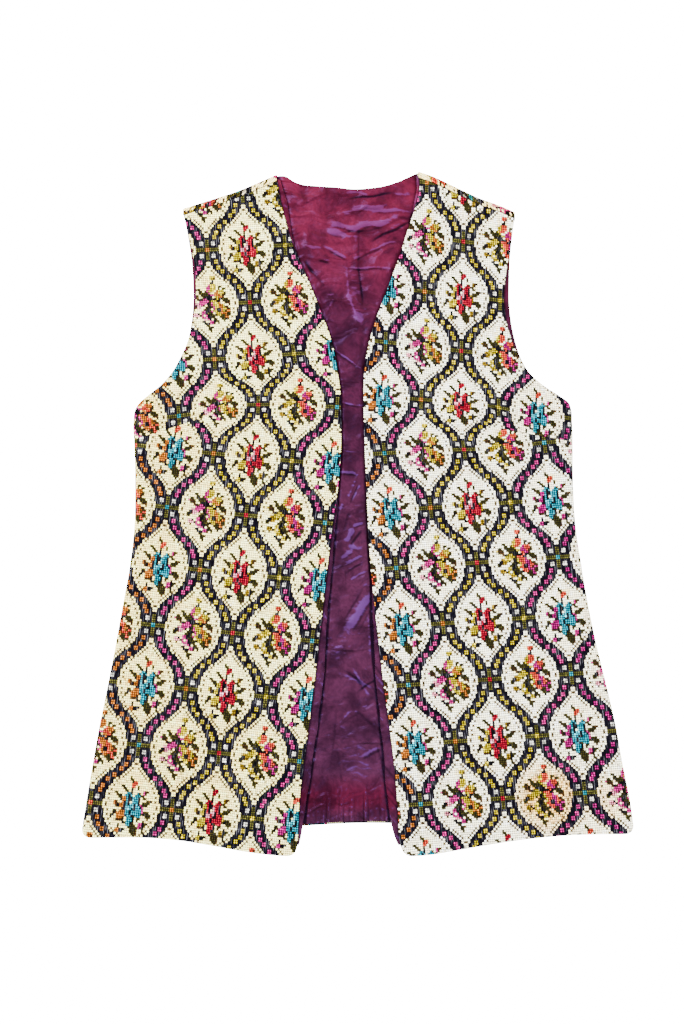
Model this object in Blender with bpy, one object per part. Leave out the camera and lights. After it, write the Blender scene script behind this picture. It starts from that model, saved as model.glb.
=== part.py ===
"""Long open-fronted waistcoat of tapestry cloth with a satin lining, lying flat on its back.

Sizes in the tables are millimetres. X runs to the wearer's left, Y to the collar and Z up.
The origin is under the middle of the whole garment, on the surface that it lies on.
"""
import math

import bmesh
import bpy
import numpy as np

MM = 0.001

# Cloth
TAPESTRY = 1.6           # tapestry wall
SATIN = 1.0              # lining wall
GAP = 0.3                # space between pieces at seams and between layers

# Heights of the layers above the surface
LINING_TOP = 2.9         # back lining, on the back
LIE = 5.2                # top of a front where it lies on the lining
CROWN = 9.0              # top of a front where it rounds over to the side and shoulder
SEAM_HEIGHT = 4.5        # side seam, at mid height
EDGE_RISE = 1.6          # a front's extra height over its lining strip
EDGE_TURN = 0.3          # how far a free edge turns down
STRIP_DROP = 0.35        # from a front's inner face down to its lining strip

# Spreads of those heights, measured from the edges
STRIP_WIDTH = 28.0       # front lining strip, inward from the front edge
EDGE_FLAT = 32.0         # full extra height from the front edge to here
EDGE_SPREAD = 70.0
EDGE_ROUND = 5.0         # width over which a front edge turns down
SIDE_SPREAD = 48.0
SHOULDER_FLAT = 3.0
SHOULDER_SPREAD = 62.0
CORNER = 10.0            # radius of the hem's corners
FOLD_ENDS = (0.2, 0.6)   # shares of a fold's length between which it fades, from its middle

# Shoulder: the back folds over it and runs forward to the seam
FOLD_DEPTH = 4.5
FLAP = 8.0               # from the fold to the shoulder seam

# Front corners hang past the back's hem
DROOP = 2.6
DROOP_START = 4.0        # below the back's hem
DROOP_LENGTH = 22.0

# Outline by level: y, x of the right side, right front edge, left front edge and left side.
# roll is the width over which the side rounds, closed is 1 along the side seam and 0 in the armhole,
# and the last two are how far the back shows past the fronts in the right and left armholes.
LEVELS = (
    # y,  right_side, right_edge, left_edge, left_side, roll, closed, right_show, left_show
    (-350, -275.0, -60.5, 43.5, 275.0, 5.0, 1.0, 0.0, 0.0),
    (-322, -273.0, -59.0, 40.0, 273.0, 5.0, 1.0, 0.0, 0.0),
    (-300, -270.0, -58.2, 39.0, 270.5, 5.0, 1.0, 0.0, 0.0),
    (-260, -264.0, -54.0, 36.0, 263.5, 5.0, 1.0, 0.0, 0.0),
    (-220, -257.5, -48.5, 31.0, 257.0, 5.0, 1.0, 0.0, 0.0),
    (-180, -250.0, -43.5, 25.5, 248.5, 5.0, 1.0, 0.0, 0.0),
    (-140, -243.0, -39.0, 21.0, 239.5, 5.0, 1.0, 0.0, 0.0),
    (-100, -236.5, -34.5, 16.5, 232.0, 5.0, 1.0, 0.0, 0.0),
    (-60, -230.0, -30.0, 12.7, 226.0, 5.0, 1.0, 0.0, 0.0),
    (-20, -226.5, -25.0, 10.5, 221.0, 5.5, 1.0, 0.0, 0.0),
    (20, -226.5, -19.5, 8.7, 219.5, 6.5, 1.0, 0.0, 0.0),
    (60, -228.0, -16.8, 7.3, 219.8, 8.5, 1.0, 0.0, 0.0),
    (85, -229.3, -16.8, 6.5, 219.6, 10.0, 1.0, 0.0, 0.0),
    (98, -227.5, -17.0, 6.2, 218.8, 9.0, 0.9, 0.0, 0.0),
    (105, -223.0, -17.0, 6.1, 216.0, 6.0, 0.5, 0.0, 0.2),
    (112, -214.8, -17.2, 6.2, 206.5, 3.0, 0.15, 0.0, 0.4),
    (122, -202.5, -18.2, 6.2, 191.5, 2.0, 0.0, 0.2, 0.6),
    (135, -191.3, -20.0, 6.8, 177.5, 2.0, 0.0, 0.3, 1.0),
    (150, -183.0, -22.3, 8.5, 168.0, 2.0, 0.0, 0.4, 1.5),
    (170, -174.5, -27.0, 12.5, 159.2, 2.0, 0.0, 0.8, 3.8),
    (190, -169.8, -33.5, 18.5, 153.8, 2.0, 0.0, 1.6, 5.4),
    (210, -167.3, -41.5, 25.5, 151.7, 2.0, 0.0, 2.6, 5.6),
    (235, -167.2, -51.5, 35.0, 153.3, 2.0, 0.0, 3.4, 4.4),
    (260, -170.6, -62.5, 44.0, 157.4, 2.0, 0.0, 2.2, 1.6),
    (285, -176.3, -71.5, 51.8, 161.3, 2.0, 0.0, 0.8, 0.6),
    (310, -182.0, -78.0, 60.0, 164.5, 2.0, 0.0, 0.0, 0.0),
    (330, -185.0, -82.0, 64.6, 166.0, 2.0, 0.0, 0.0, 0.0),
    (352, -188.0, -84.8, 63.6, 167.0, 2.0, 0.0, 0.0, 0.0),
)

# Hem of the fronts: share of the way from the front edge to the side, y on the right and on the left
HEM = (
    (0.00, -350.0, -350.0),
    (0.10, -348.8, -348.8),
    (0.25, -345.0, -343.6),
    (0.40, -339.3, -337.8),
    (0.55, -334.2, -332.8),
    (0.70, -331.6, -329.6),
    (0.85, -331.2, -328.2),
    (1.00, -331.0, -327.4),
)

HEM_LEVEL = -331.0       # where the fronts' hems are measured across

# Hem of the back: x, y
BACK_HEM = ((-273.0, -330.5), (-160.0, -325.0), (-54.0, -320.4), (-3.0, -317.8), (40.0, -318.0),
            (150.0, -323.0), (273.0, -328.0))

# Shoulder folds: share of the way from the neck point to the tip, y on the right and on the left
SHOULDER = (
    (0.00, 346.5, 350.0),
    (0.15, 339.8, 344.6),
    (0.40, 329.2, 332.4),
    (0.65, 320.8, 320.4),
    (0.85, 314.4, 313.0),
    (1.00, 309.6, 306.0),
)

# Back neckline between the two neck points: x, y
NECK = ((-84.0, 346.5), (-73.5, 345.5), (-67.5, 341.0), (-59.5, 337.6), (-45.0, 335.8), (-22.0, 334.2),
        (-3.0, 332.2), (12.0, 333.2), (29.0, 335.8), (46.0, 341.6), (57.0, 346.8), (64.0, 350.0))

# How far the front lining rolls out past the front edge: y, right, left; negative stays hidden
SHOW = (
    (-350, 5.0, 5.5),
    (-335, 6.5, 8.5),
    (-300, 7.0, 9.5),
    (-235, 8.5, 8.8),
    (-160, 8.0, 6.0),
    (-100, 5.0, 2.0),
    (-70, 4.4, -0.6),
    (-40, 3.6, -0.6),
    (0, 1.6, -0.6),
    (25, -0.6, -0.6),
    (250, -0.6, -0.6),
    (268, 1.6, -0.6),
    (293, 4.0, -0.6),
    (318, 6.0, 2.4),
    (348, 2.0, 2.6),
)

# Bust darts: panel, x and y at the side seam, x and y at the point, groove depth and half width there
DARTS = (
    ("front_right", -229.0, 66.0, -108.0, 106.0, 1.5, 5.0),
    ("front_left", 219.0, 64.0, 118.0, 84.0, 1.5, 5.0),
)
DART_WIDEST = 1.3        # groove width at the side, in half widths
DART_NARROWING = 0.6     # how much of that it has lost at the point
DART_FADE = 0.45         # share of its length from which the groove gets shallower

# Soft swells and folds of the fronts: x, y, heading in degrees from +X, length, width, height
SWELLS = (
    (-100, 100, 20, 90, 36, 2.4),
    (112, 84, -10, 90, 36, 2.4),
    (-196, 118, 38, 60, 16, 2.2),
    (190, 112, -38, 60, 16, 2.0),
    (-150, 170, 78, 90, 18, 1.0),
    (132, 176, 100, 90, 18, 1.0),
    (-205, -40, 84, 150, 22, 1.4),
    (196, -60, 97, 150, 22, 1.4),
    (-120, -150, 96, 200, 26, 1.2),
    (120, -190, 82, 200, 26, 1.2),
    (-96, 262, 60, 100, 20, 0.9),
    (98, 250, 118, 100, 20, 0.9),
    (-176, -262, 74, 110, 24, 1.0),
    (186, -250, 106, 110, 24, 1.0),
)

# Creases of the back lining in the opening: x, y, heading in degrees from +X, length, width, height
CREASES = (
    (2, 322, 5, 92, 5.5, 1.6),
    (20, 303, 8, 66, 6.5, 3.0),
    (-6, 288, -4, 74, 6.5, 3.2),
    (-28, 268, -14, 66, 6.0, 2.2),
    (24, 262, 14, 60, 6.0, 2.2),
    (0, 244, 92, 74, 5.5, 2.4),
    (-14, 226, 62, 46, 5.0, 1.6),
    (6, 204, 118, 52, 5.0, 2.0),
    (-10, 178, 20, 34, 5.0, 1.2),
    (-4, 150, 100, 60, 4.0, 1.4),
    (-5, 116, 4, 22, 3.5, 1.0),
    (-5, 76, 3, 22, 3.5, 1.0),
    (-7, 40, 2, 26, 4.0, 1.2),
    (-6, -6, 58, 40, 4.5, 2.2),
    (-12, -42, 36, 36, 5.0, 2.0),
    (-12, -84, 54, 62, 6.5, 3.4),
    (-3, -122, 74, 50, 5.5, 2.4),
    (2, -168, 98, 90, 5.0, 2.2),
    (-18, -196, 118, 44, 5.5, 1.8),
    (4, -238, 84, 70, 5.0, 2.0),
    (-28, -252, 84, 64, 5.0, 1.6),
)

# Gathers of the back lining along its hem, between the fronts
GATHERS = 21
GATHER_HEIGHT = 0.8
GATHER_ROWS = (0.0, 7.0, 15.0, 24.0)

# Side seams end softly at the armholes: how fast two of their effects follow the closing of the side
LEAN_RATE = 1.2
INSET_RATE = 3.0

# Insets of the back lining from the back's outline
LINING_INSET_SIDE = 1.5
LINING_INSET_ARMHOLE = 0.6
LINING_INSET_NECK = 1.2
LINING_INSET_HEM = 2.4
LINING_INSET_FOLD = 7.0

# Margins of the opening in which the back lining lies flat, and in which its creases rise
OPENING_MARGIN = 1.5
OPENING_RISE = 7.0

# Insets of the front lining strips from the hem and from the shoulder's fold
STRIP_INSET_HEM = 1.5
STRIP_INSET_FOLD = 5.5
STRIP_LEVEL = 6.0        # strips keep the height that the front has this far from its edge

# Grid of each piece: the furthest apart that its rows are, and its columns or cells across
LEVEL_MARGIN = 4.0       # no row of the outline's this close to a first or last row
EDGE_COLUMNS = (0.0, 1.5, 5.0, 11.0)
ROLL_MARGIN = 8.0        # from the last even column to the side's rounding
STRIP_COLUMNS = (1.2, 5.0, 14.0)
FRONT_STEP = 20.0
BACK_STEP = 40.0
LINING_STEP = 12.0
STRIP_STEP = 24.0
ROLL_CELLS = 3
FRONT_CELLS = 8
OPENING_CELLS = 14
COVERED_CELLS = 2
SHOULDER_CELLS = 4
NECK_CELLS = 7

# Material of each piece: red, green and blue, roughness
COLOURS = {
    "tapestry": ((0.62, 0.55, 0.42), 0.9),
    "satin": ((0.13, 0.018, 0.055), 0.35),
}


def smooth(value):
    """Go smoothly from 0 to 1 as value does, and stay there outside that range."""
    t = np.clip(value, 0.0, 1.0)
    return t * t * (3.0 - 2.0 * t)


def fade(distance, near, far):
    """Weigh 1 up to near and fall smoothly to 0 at far."""
    return 1.0 - smooth((distance - near) / (far - near))


def through(table, column, at=0):
    """Return a smooth function of the table's first column through the values of another one."""
    known = np.array([row[at] for row in table], dtype=float)
    values = np.array([row[column] for row in table], dtype=float)
    slopes = np.gradient(values, known)

    def read(where):
        where = np.clip(where, known[0], known[-1])
        i = np.clip(np.searchsorted(known, where) - 1, 0, len(known) - 2)
        span = known[i + 1] - known[i]
        t = (where - known[i]) / span
        rise = values[i + 1] - values[i]
        start = slopes[i] * span
        end = slopes[i + 1] * span
        return values[i] + start * t + (3 * rise - 2 * start - end) * t ** 2 + (start + end - 2 * rise) * t ** 3

    return read


class Side:
    """Outline curves of one half of the garment: the wearer's right lies at -X."""

    def __init__(self, name):
        right = name == "right"
        self.name = name
        self.sign = -1.0 if right else 1.0
        self.side = through(LEVELS, 1 if right else 4)
        self.edge = through(LEVELS, 2 if right else 3)
        self.roll = through(LEVELS, 5)
        self.back_show = through(LEVELS, 7 if right else 8)
        self.hem = through(HEM, 1 if right else 2)
        self.fold = through(SHOULDER, 1 if right else 2)
        self.lining_show = through(SHOW, 1 if right else 2)

    def closed(self, y):
        """Give 1 where the side is sewn to the back and 0 in the armhole."""
        return np.interp(y, [row[0] for row in LEVELS], [row[6] for row in LEVELS])

    def width(self, y):
        return self.sign * (self.side(y) - self.edge(y))

    def fold_at(self, x):
        """Give the shoulder fold's y above a point of the panel."""
        top = self.fold(0.0)
        share = (x - self.edge(top)) / (self.side(self.fold(1.0)) - self.edge(top))
        return self.fold(np.clip(share, 0.0, 1.0))

    def hem_at(self, along, width):
        """Give the hem's y at a distance from the front edge, its two corners rounded."""
        y = self.hem(np.clip(along / width, 0.0, 1.0))
        for distance in (along, width - along):
            short = np.clip(CORNER - distance, 0.0, CORNER)
            y = y + CORNER - np.sqrt(CORNER ** 2 - short ** 2)
        return y


RIGHT = Side("right")
LEFT = Side("left")
back_hem = through(BACK_HEM, 1)
neck_line = through(NECK, 1)


def ridge(x, y, row):
    """Height at (x, y) of one soft fold: centre, heading, length, width and height."""
    centre_x, centre_y, heading, length, width, height = row
    turn = math.radians(heading)
    along = (x - centre_x) * math.cos(turn) + (y - centre_y) * math.sin(turn)
    across = -(x - centre_x) * math.sin(turn) + (y - centre_y) * math.cos(turn)
    return height * np.exp(-(across / width) ** 2) * fade(np.abs(along) / length, *FOLD_ENDS)


def dart_groove(x, y, name):
    """Depth of the bust dart's seam, deepest at the side and gone at its point."""
    depth_here = 0.0
    for panel, side_x, side_y, point_x, point_y, depth, half_width in DARTS:
        if panel != name:
            continue
        run = np.array((point_x - side_x, point_y - side_y))
        length = math.hypot(*run)
        run = run / length
        along = ((x - side_x) * run[0] + (y - side_y) * run[1]) / length
        across = -(x - side_x) * run[1] + (y - side_y) * run[0]
        width = half_width * (DART_WIDEST - DART_NARROWING * np.clip(along, 0.0, 1.0))
        depth_here = depth_here + depth * np.exp(-(across / width) ** 2) * fade(along, DART_FADE, 1.0)
    return depth_here


def front_top(half, x, y):
    """Height of a front's outer face at (x, y)."""
    from_side = half.sign * (half.side(y) - x)
    from_edge = half.sign * (x - half.edge(y))
    from_seam = half.fold_at(x) - FLAP - y
    closed = half.closed(y)
    roll = half.roll(y)
    z = LIE + EDGE_RISE * fade(from_edge, EDGE_FLAT, EDGE_SPREAD)
    for row in SWELLS:
        z = z + ridge(x, y, row)
    z = z + (CROWN - z) * closed * fade(from_side, roll, SIDE_SPREAD)
    z = z + (CROWN - z) * fade(from_seam, SHOULDER_FLAT, SHOULDER_SPREAD)
    z = np.maximum(z - dart_groove(x, y, "front_" + half.name), LIE - EDGE_TURN)
    z = z - DROOP * smooth((back_hem(x) - DROOP_START - y) / DROOP_LENGTH)
    edge_z = closed * (SEAM_HEIGHT + GAP / 2) + (1.0 - closed) * (z - EDGE_TURN)
    round_over = np.sqrt(1.0 - np.clip(1.0 - from_side / roll, 0.0, 1.0) ** 2)
    z = edge_z + (z - edge_z) * round_over
    return z - EDGE_TURN * fade(from_edge, 0.0, EDGE_ROUND)


def back_under(half, x, y):
    """Height of the back's outer face, which lies on the surface and rounds up to the side seam."""
    from_side = half.sign * (half.side(y) - x) + half.back_show(y)
    roll = half.roll(y)
    round_over = np.sqrt(1.0 - np.clip(1.0 - from_side / roll, 0.0, 1.0) ** 2)
    return half.closed(y) * (SEAM_HEIGHT - GAP / 2) * (1.0 - round_over)


def spread(low, high, cells):
    """Give evenly spaced values from low to high, both included."""
    return [low + (high - low) * i / cells for i in range(cells + 1)]


def quarter_turn(depth):
    """Give distances in from a rounded edge, evenly spaced round its quarter turn."""
    return [depth * (1.0 - math.cos(math.pi / 2 * i / ROLL_CELLS)) for i in range(ROLL_CELLS + 1)]


def lean(half, y, from_side):
    """Give how far the wall leans into the garment where it rounds the side: 1 is level, 0 upright."""
    return min(LEAN_RATE * half.closed(y), 1.0) * np.clip(1.0 - from_side / half.roll(y), 0.0, 1.0)


def side_levels(step, low, high):
    """Give levels up the side no further apart than step, with every level of the outline among them."""
    known = [low] + [row[0] for row in LEVELS if low + LEVEL_MARGIN < row[0] < high - LEVEL_MARGIN] + [high]
    levels = [low]
    for start, end in zip(known, known[1:]):
        levels += spread(start, end, math.ceil((end - start) / step))[1:]
    return levels


def wall(name, rows, colour, face_up=True):
    """Make a cloth wall from rows that map column numbers to an outer point and the step to its inner one.

    Rows join where they share columns one apart, and the columns that only one of them has lie between.
    """
    piece = bmesh.new()
    outer = []
    inner = {}
    for row in rows:
        outer.append({})
        for column in sorted(row):
            point, step = row[column]
            vert = piece.verts.new([value * MM for value in point])
            inner[vert] = piece.verts.new([(value + change) * MM for value, change in zip(point, step)])
            outer[-1][column] = vert
    faces = []
    for lower, upper in zip(outer, outer[1:]):
        shared = sorted(set(lower) & set(upper))
        for first, last in zip(shared, shared[1:]):
            if last - first > 1.001:
                continue
            loop = [lower[c] for c in sorted(lower) if first <= c <= last]
            loop += [upper[c] for c in sorted(upper, reverse=True) if first <= c <= last]
            faces.append(piece.faces.new(loop if face_up else loop[::-1]))
    rim = [loop for face in faces for loop in face.loops if loop.edge.is_boundary]
    rim = [(loop.vert, loop.link_loop_next.vert) for loop in rim]
    for face in faces:
        piece.faces.new([inner[vert] for vert in reversed(face.verts)])
    for start, end in rim:
        piece.faces.new((end, start, inner[start], inner[end]))
    mesh = bpy.data.meshes.new(name)
    piece.to_mesh(mesh)
    piece.free()
    mesh.shade_smooth()
    mesh.set_sharp_from_angle(angle=math.radians(50))
    mesh.materials.append(material(colour))
    made = bpy.data.objects.new(name, mesh)
    bpy.context.scene.collection.objects.link(made)
    return made


def material(name):
    """Give the named plain material, made once."""
    if name in bpy.data.materials:
        return bpy.data.materials[name]
    colour, roughness = COLOURS[name]
    made = bpy.data.materials.new(name)
    made.use_nodes = True
    shader = made.node_tree.nodes["Principled BSDF"]
    shader.inputs["Base Color"].default_value = (*colour, 1.0)
    shader.inputs["Roughness"].default_value = roughness
    shader.inputs["Metallic"].default_value = 0.0
    return made


def front_columns(half, y):
    """Give distances in from the front edge, close together at the edge and round the side."""
    near = list(EDGE_COLUMNS)
    far = [half.width(y) - distance for distance in reversed(quarter_turn(half.roll(y)))]
    return near + spread(near[-1], far[0] - ROLL_MARGIN, FRONT_CELLS)[1:] + far


def seam_line(half):
    """Give x and y along the edge of the back's flap on one shoulder, in the order of x."""
    count = len(back_columns(0.0))
    ends = ROLL_CELLS + 1 + SHOULDER_CELLS
    line = []
    for column in range(ends) if half.sign < 0 else range(count - ends, count):
        y = half.fold(0.5)
        for _ in range(4):
            x = back_columns(y)[column]
            y = half.fold_at(x) - FLAP
        line.append((x, y))
    return line


def seam_on_column(half, column):
    """Give y where a front's column meets the shoulder seam."""
    known_x, known_y = zip(*seam_line(half))
    y = half.fold(0.5)
    for _ in range(6):
        x = half.edge(y) + half.sign * front_columns(half, y)[column]
        y = np.interp(x, known_x, known_y) - 2 * GAP
    return y


def make_front(half):
    """Tapestry front with its bust dart, from the hem to the shoulder seam."""
    hem_columns = front_columns(half, HEM_LEVEL)
    bottom = [half.hem_at(along, half.width(HEM_LEVEL)) for along in hem_columns]
    top = [seam_on_column(half, column) for column in range(len(bottom))]
    rows = []
    for level in side_levels(FRONT_STEP, bottom[-1], top[-1]):
        share = (level - bottom[-1]) / (top[-1] - bottom[-1])
        row = {}
        for column in range(len(bottom)):
            y = bottom[column] + (top[column] - bottom[column]) * share
            along = front_columns(half, y)[column]
            x = half.edge(y) + half.sign * along
            tilt = lean(half, y, half.width(y) - along)
            step = (-half.sign * tilt * TAPESTRY, 0.0, -math.sqrt(1.0 - tilt ** 2) * TAPESTRY)
            row[column] = ((x, y, front_top(half, x, y)), step)
        rows.append(row)
    return wall("front_" + half.name, rows, "tapestry", face_up=half.sign > 0)


def make_front_lining(half):
    """Strip of satin behind the front edge, which rolls out past it at the neck and the skirt."""
    def columns(y):
        outer = -half.lining_show(y)
        first, second, third = STRIP_COLUMNS
        return outer, outer + first, max(outer + 2 * first, second), third, STRIP_WIDTH

    hem_width = half.width(HEM_LEVEL)
    bottom = [half.hem_at(max(along, 0.0), hem_width) + STRIP_INSET_HEM
              for along in columns(HEM_LEVEL)]
    neck = half.fold(0.0)
    ends = [half.edge(neck) + half.sign * along for along in columns(neck)]
    top = [half.fold_at(x) - STRIP_INSET_FOLD for x in ends]
    rows = []
    for level in side_levels(STRIP_STEP, bottom[0], top[0]):
        share = (level - bottom[0]) / (top[0] - bottom[0])
        row = {}
        for column in range(len(bottom)):
            y = bottom[column] + (top[column] - bottom[column]) * share
            along = columns(y)[column]
            under = half.edge(y) + half.sign * max(along, STRIP_LEVEL)
            z = front_top(half, under, y) - EDGE_TURN - TAPESTRY - STRIP_DROP
            z = z - EDGE_TURN * (column == 0)
            row[column] = ((half.edge(y) + half.sign * along, y, z), (0.0, 0.0, -SATIN))
        rows.append(row)
    return wall("lining_front_" + half.name, rows, "satin", face_up=half.sign > 0)


def back_limits(y):
    """Give the back's two side positions at a level."""
    return RIGHT.side(y) - RIGHT.back_show(y), LEFT.side(y) + LEFT.back_show(y)


def back_columns(y):
    """Give x of the back's columns at a level: rounded sides, shoulders and neck."""
    neck_y = NECK[0][1]
    neck_low, neck_high = back_limits(neck_y)
    neck_roll = RIGHT.roll(neck_y)
    inner = neck_high - neck_low - 2 * neck_roll
    first = (NECK[0][0] - neck_low - neck_roll) / inner
    last = (NECK[-1][0] - neck_low - neck_roll) / inner
    shares = spread(0.0, first, SHOULDER_CELLS) + spread(first, last, NECK_CELLS)[1:]
    shares += spread(last, 1.0, SHOULDER_CELLS)[1:]
    low, high = back_limits(y)
    roll = RIGHT.roll(y)
    middle = [low + roll + (high - low - 2 * roll) * share for share in shares]
    rolled = quarter_turn(roll)[:-1]
    return [low + step for step in rolled] + middle + [high - step for step in reversed(rolled)]


def corner_lift(x, low, high):
    """Give how far the hem's rounded corners rise at x."""
    lift = 0.0
    for distance in (x - low, high - x):
        short = min(max(CORNER - distance, 0.0), CORNER)
        lift += CORNER - math.sqrt(CORNER ** 2 - short ** 2)
    return lift


def make_back():
    """Tapestry back, flat on the surface, turned up to the side seams and forward over the shoulders."""
    neck_first = ROLL_CELLS + SHOULDER_CELLS
    neck_last = neck_first + NECK_CELLS
    hem_x = back_columns(BACK_HEM[0][1])
    top_x = back_columns(NECK[0][1])
    columns = range(len(hem_x))
    bottom = [back_hem(x) + corner_lift(x, hem_x[0], hem_x[-1]) for x in hem_x]
    folds = [(RIGHT if column <= neck_first else LEFT).fold_at(top_x[column]) for column in columns]
    top = [neck_line(top_x[column]) if neck_first < column < neck_last else folds[column] - FOLD_DEPTH
           for column in columns]
    rows = []
    for level in side_levels(BACK_STEP, bottom[0], top[0]):
        share = (level - bottom[0]) / (top[0] - bottom[0])
        row = {}
        for column in columns:
            y = bottom[column] + (top[column] - bottom[column]) * share
            x = back_columns(y)[column]
            half = RIGHT if x < 0 else LEFT
            low, high = back_limits(y)
            tilt = lean(half, y, min(x - low, high - x))
            step = (-half.sign * tilt * TAPESTRY, 0.0, math.sqrt(1.0 - tilt ** 2) * TAPESTRY)
            row[column] = ((x, y, back_under(half, x, y)), step)
        rows.append(row)
    for degrees in range(30, 181, 30):
        turn = math.radians(degrees)
        step = (0.0, -math.sin(turn) * TAPESTRY, math.cos(turn) * TAPESTRY)
        row = {}
        for column in columns:
            if column <= neck_first or column >= neck_last:
                y = folds[column] - FOLD_DEPTH * (1.0 - math.sin(turn))
                row[column] = ((back_columns(y)[column], y, CROWN / 2 * (1.0 - math.cos(turn))), step)
        rows.append(row)
    flap_ends = seam_line(RIGHT) + seam_line(LEFT)
    step = (0.0, 0.0, -TAPESTRY)
    rows.append({column: ((*end, CROWN), step) for column, end in zip(sorted(rows[-1]), flap_ends)})
    return wall("back", rows, "tapestry", face_up=False)


def lining_limits(y):
    """Give the back lining's two side positions at a level, in from the side seams and armholes."""
    low, high = back_limits(y)
    closed = min(INSET_RATE * RIGHT.closed(y), 1.0)
    inset = closed * (RIGHT.roll(y) + LINING_INSET_SIDE) + (1.0 - closed) * LINING_INSET_ARMHOLE
    return low + inset, high - inset


def lining_columns(y):
    """Give x of the back lining's columns at a level, closest together between the fronts."""
    low, high = lining_limits(y)
    right, left = RIGHT.edge(y), LEFT.edge(y)
    return (spread(low, right, COVERED_CELLS) + spread(right, left, OPENING_CELLS)[1:]
            + spread(left, high, COVERED_CELLS)[1:])


def between(values, place):
    """Read a list at a place between two of its members."""
    whole = min(int(place), len(values) - 2)
    return values[whole] + (values[whole + 1] - values[whole]) * (place - whole)


def in_opening(x, y):
    """Weigh 1 in the middle of the opening and 0 near and under the fronts' lining strips."""
    weight = 1.0
    for half in (RIGHT, LEFT):
        inside = half.sign * (half.edge(y) - x) - max(half.lining_show(y), 0.0)
        weight = weight * smooth((inside - OPENING_MARGIN) / OPENING_RISE)
    return weight


def make_back_lining():
    """Satin lining of the back: creased between the fronts and gathered at its hem."""
    first = COVERED_CELLS
    last = COVERED_CELLS + OPENING_CELLS
    hem_x = lining_columns(BACK_HEM[0][1] + CORNER)
    top_x = lining_columns(NECK[0][1])
    bottom = [back_hem(x) + LINING_INSET_HEM + corner_lift(x, hem_x[0], hem_x[-1]) for x in hem_x]
    top = [(RIGHT if x < 0 else LEFT).fold_at(x) - LINING_INSET_FOLD for x in top_x]
    top[first + 1:last] = [neck_line(x) - LINING_INSET_NECK for x in top_x[first + 1:last]]
    height = top[0] - bottom[0]
    gathered = [rise / height for rise in GATHER_ROWS]
    levels = side_levels(LINING_STEP, bottom[0] + GATHER_ROWS[-1], top[0])
    shares = gathered + [(level - bottom[0]) / height for level in levels[1:]]
    rows = []
    for number, share in enumerate(shares):
        in_gathers = number < len(gathered)
        cells = 2 * GATHERS // OPENING_CELLS if in_gathers else 1
        row = {}
        for step in range((len(hem_x) - 1) * cells + 1):
            column = step / cells
            if step % cells and not first < column < last:
                continue
            y = between(bottom, column) * (1.0 - share) + between(top, column) * share
            x = between(lining_columns(y), column)
            lift = sum(ridge(x, y, crease) for crease in CREASES)
            if in_gathers:
                lift = lift + GATHER_HEIGHT * (step % 2) * (1.0 - number / (len(gathered) - 1))
            row[column] = ((x, y, LINING_TOP + lift * in_opening(x, y)), (0.0, 0.0, -SATIN))
        rows.append(row)
    return wall("lining_back", rows, "satin")


def main():
    for leftover in list(bpy.data.objects):
        bpy.data.objects.remove(leftover)
    make_back()
    make_back_lining()
    for half in (RIGHT, LEFT):
        make_front_lining(half)
        make_front(half)


main()
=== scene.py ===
"""Looks of a long open-fronted waistcoat of tapestry cloth with a satin lining, lying flat on its back.

Lengths in the tables are millimetres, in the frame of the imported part: X runs to the wearer's left,
Y to the collar and Z up.
"""
import math

import bpy
import numpy as np
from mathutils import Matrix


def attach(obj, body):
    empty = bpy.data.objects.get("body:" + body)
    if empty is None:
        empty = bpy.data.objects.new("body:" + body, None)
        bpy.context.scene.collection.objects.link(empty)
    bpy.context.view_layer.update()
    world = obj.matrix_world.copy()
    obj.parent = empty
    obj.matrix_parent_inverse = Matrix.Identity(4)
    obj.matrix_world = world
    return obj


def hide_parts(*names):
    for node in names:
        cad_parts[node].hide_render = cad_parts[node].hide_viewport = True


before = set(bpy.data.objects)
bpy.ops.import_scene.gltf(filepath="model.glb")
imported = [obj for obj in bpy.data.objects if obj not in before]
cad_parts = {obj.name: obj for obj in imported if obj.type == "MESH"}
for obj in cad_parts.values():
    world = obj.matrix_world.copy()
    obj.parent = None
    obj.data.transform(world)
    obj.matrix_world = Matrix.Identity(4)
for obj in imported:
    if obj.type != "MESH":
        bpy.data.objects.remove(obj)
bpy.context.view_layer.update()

MM = 0.001


def table(text):
    """Read rows of numbers."""
    return [tuple(float(word) for word in row.split()) for row in text.strip().splitlines()]


# Form of the cloth, as in the part
TAPESTRY = 1.6
SATIN = 1.0
GAP = 0.3
LINING_TOP = 2.9
LIE = 5.2
CROWN = 9.0
SEAM_HEIGHT = 4.5
EDGE_RISE = 1.6
EDGE_TURN = 0.3
STRIP_DROP = 0.35
STRIP_WIDTH = 28.0
EDGE_SPREAD = 70.0
SIDE_SPREAD = 48.0
SHOULDER_SPREAD = 62.0
CORNER = 10.0
FOLD_DEPTH = 4.5
FLAP = 8.0
DROOP = 2.6
DROOP_LENGTH = 22.0
HEM_LEVEL = -331.0

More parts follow.
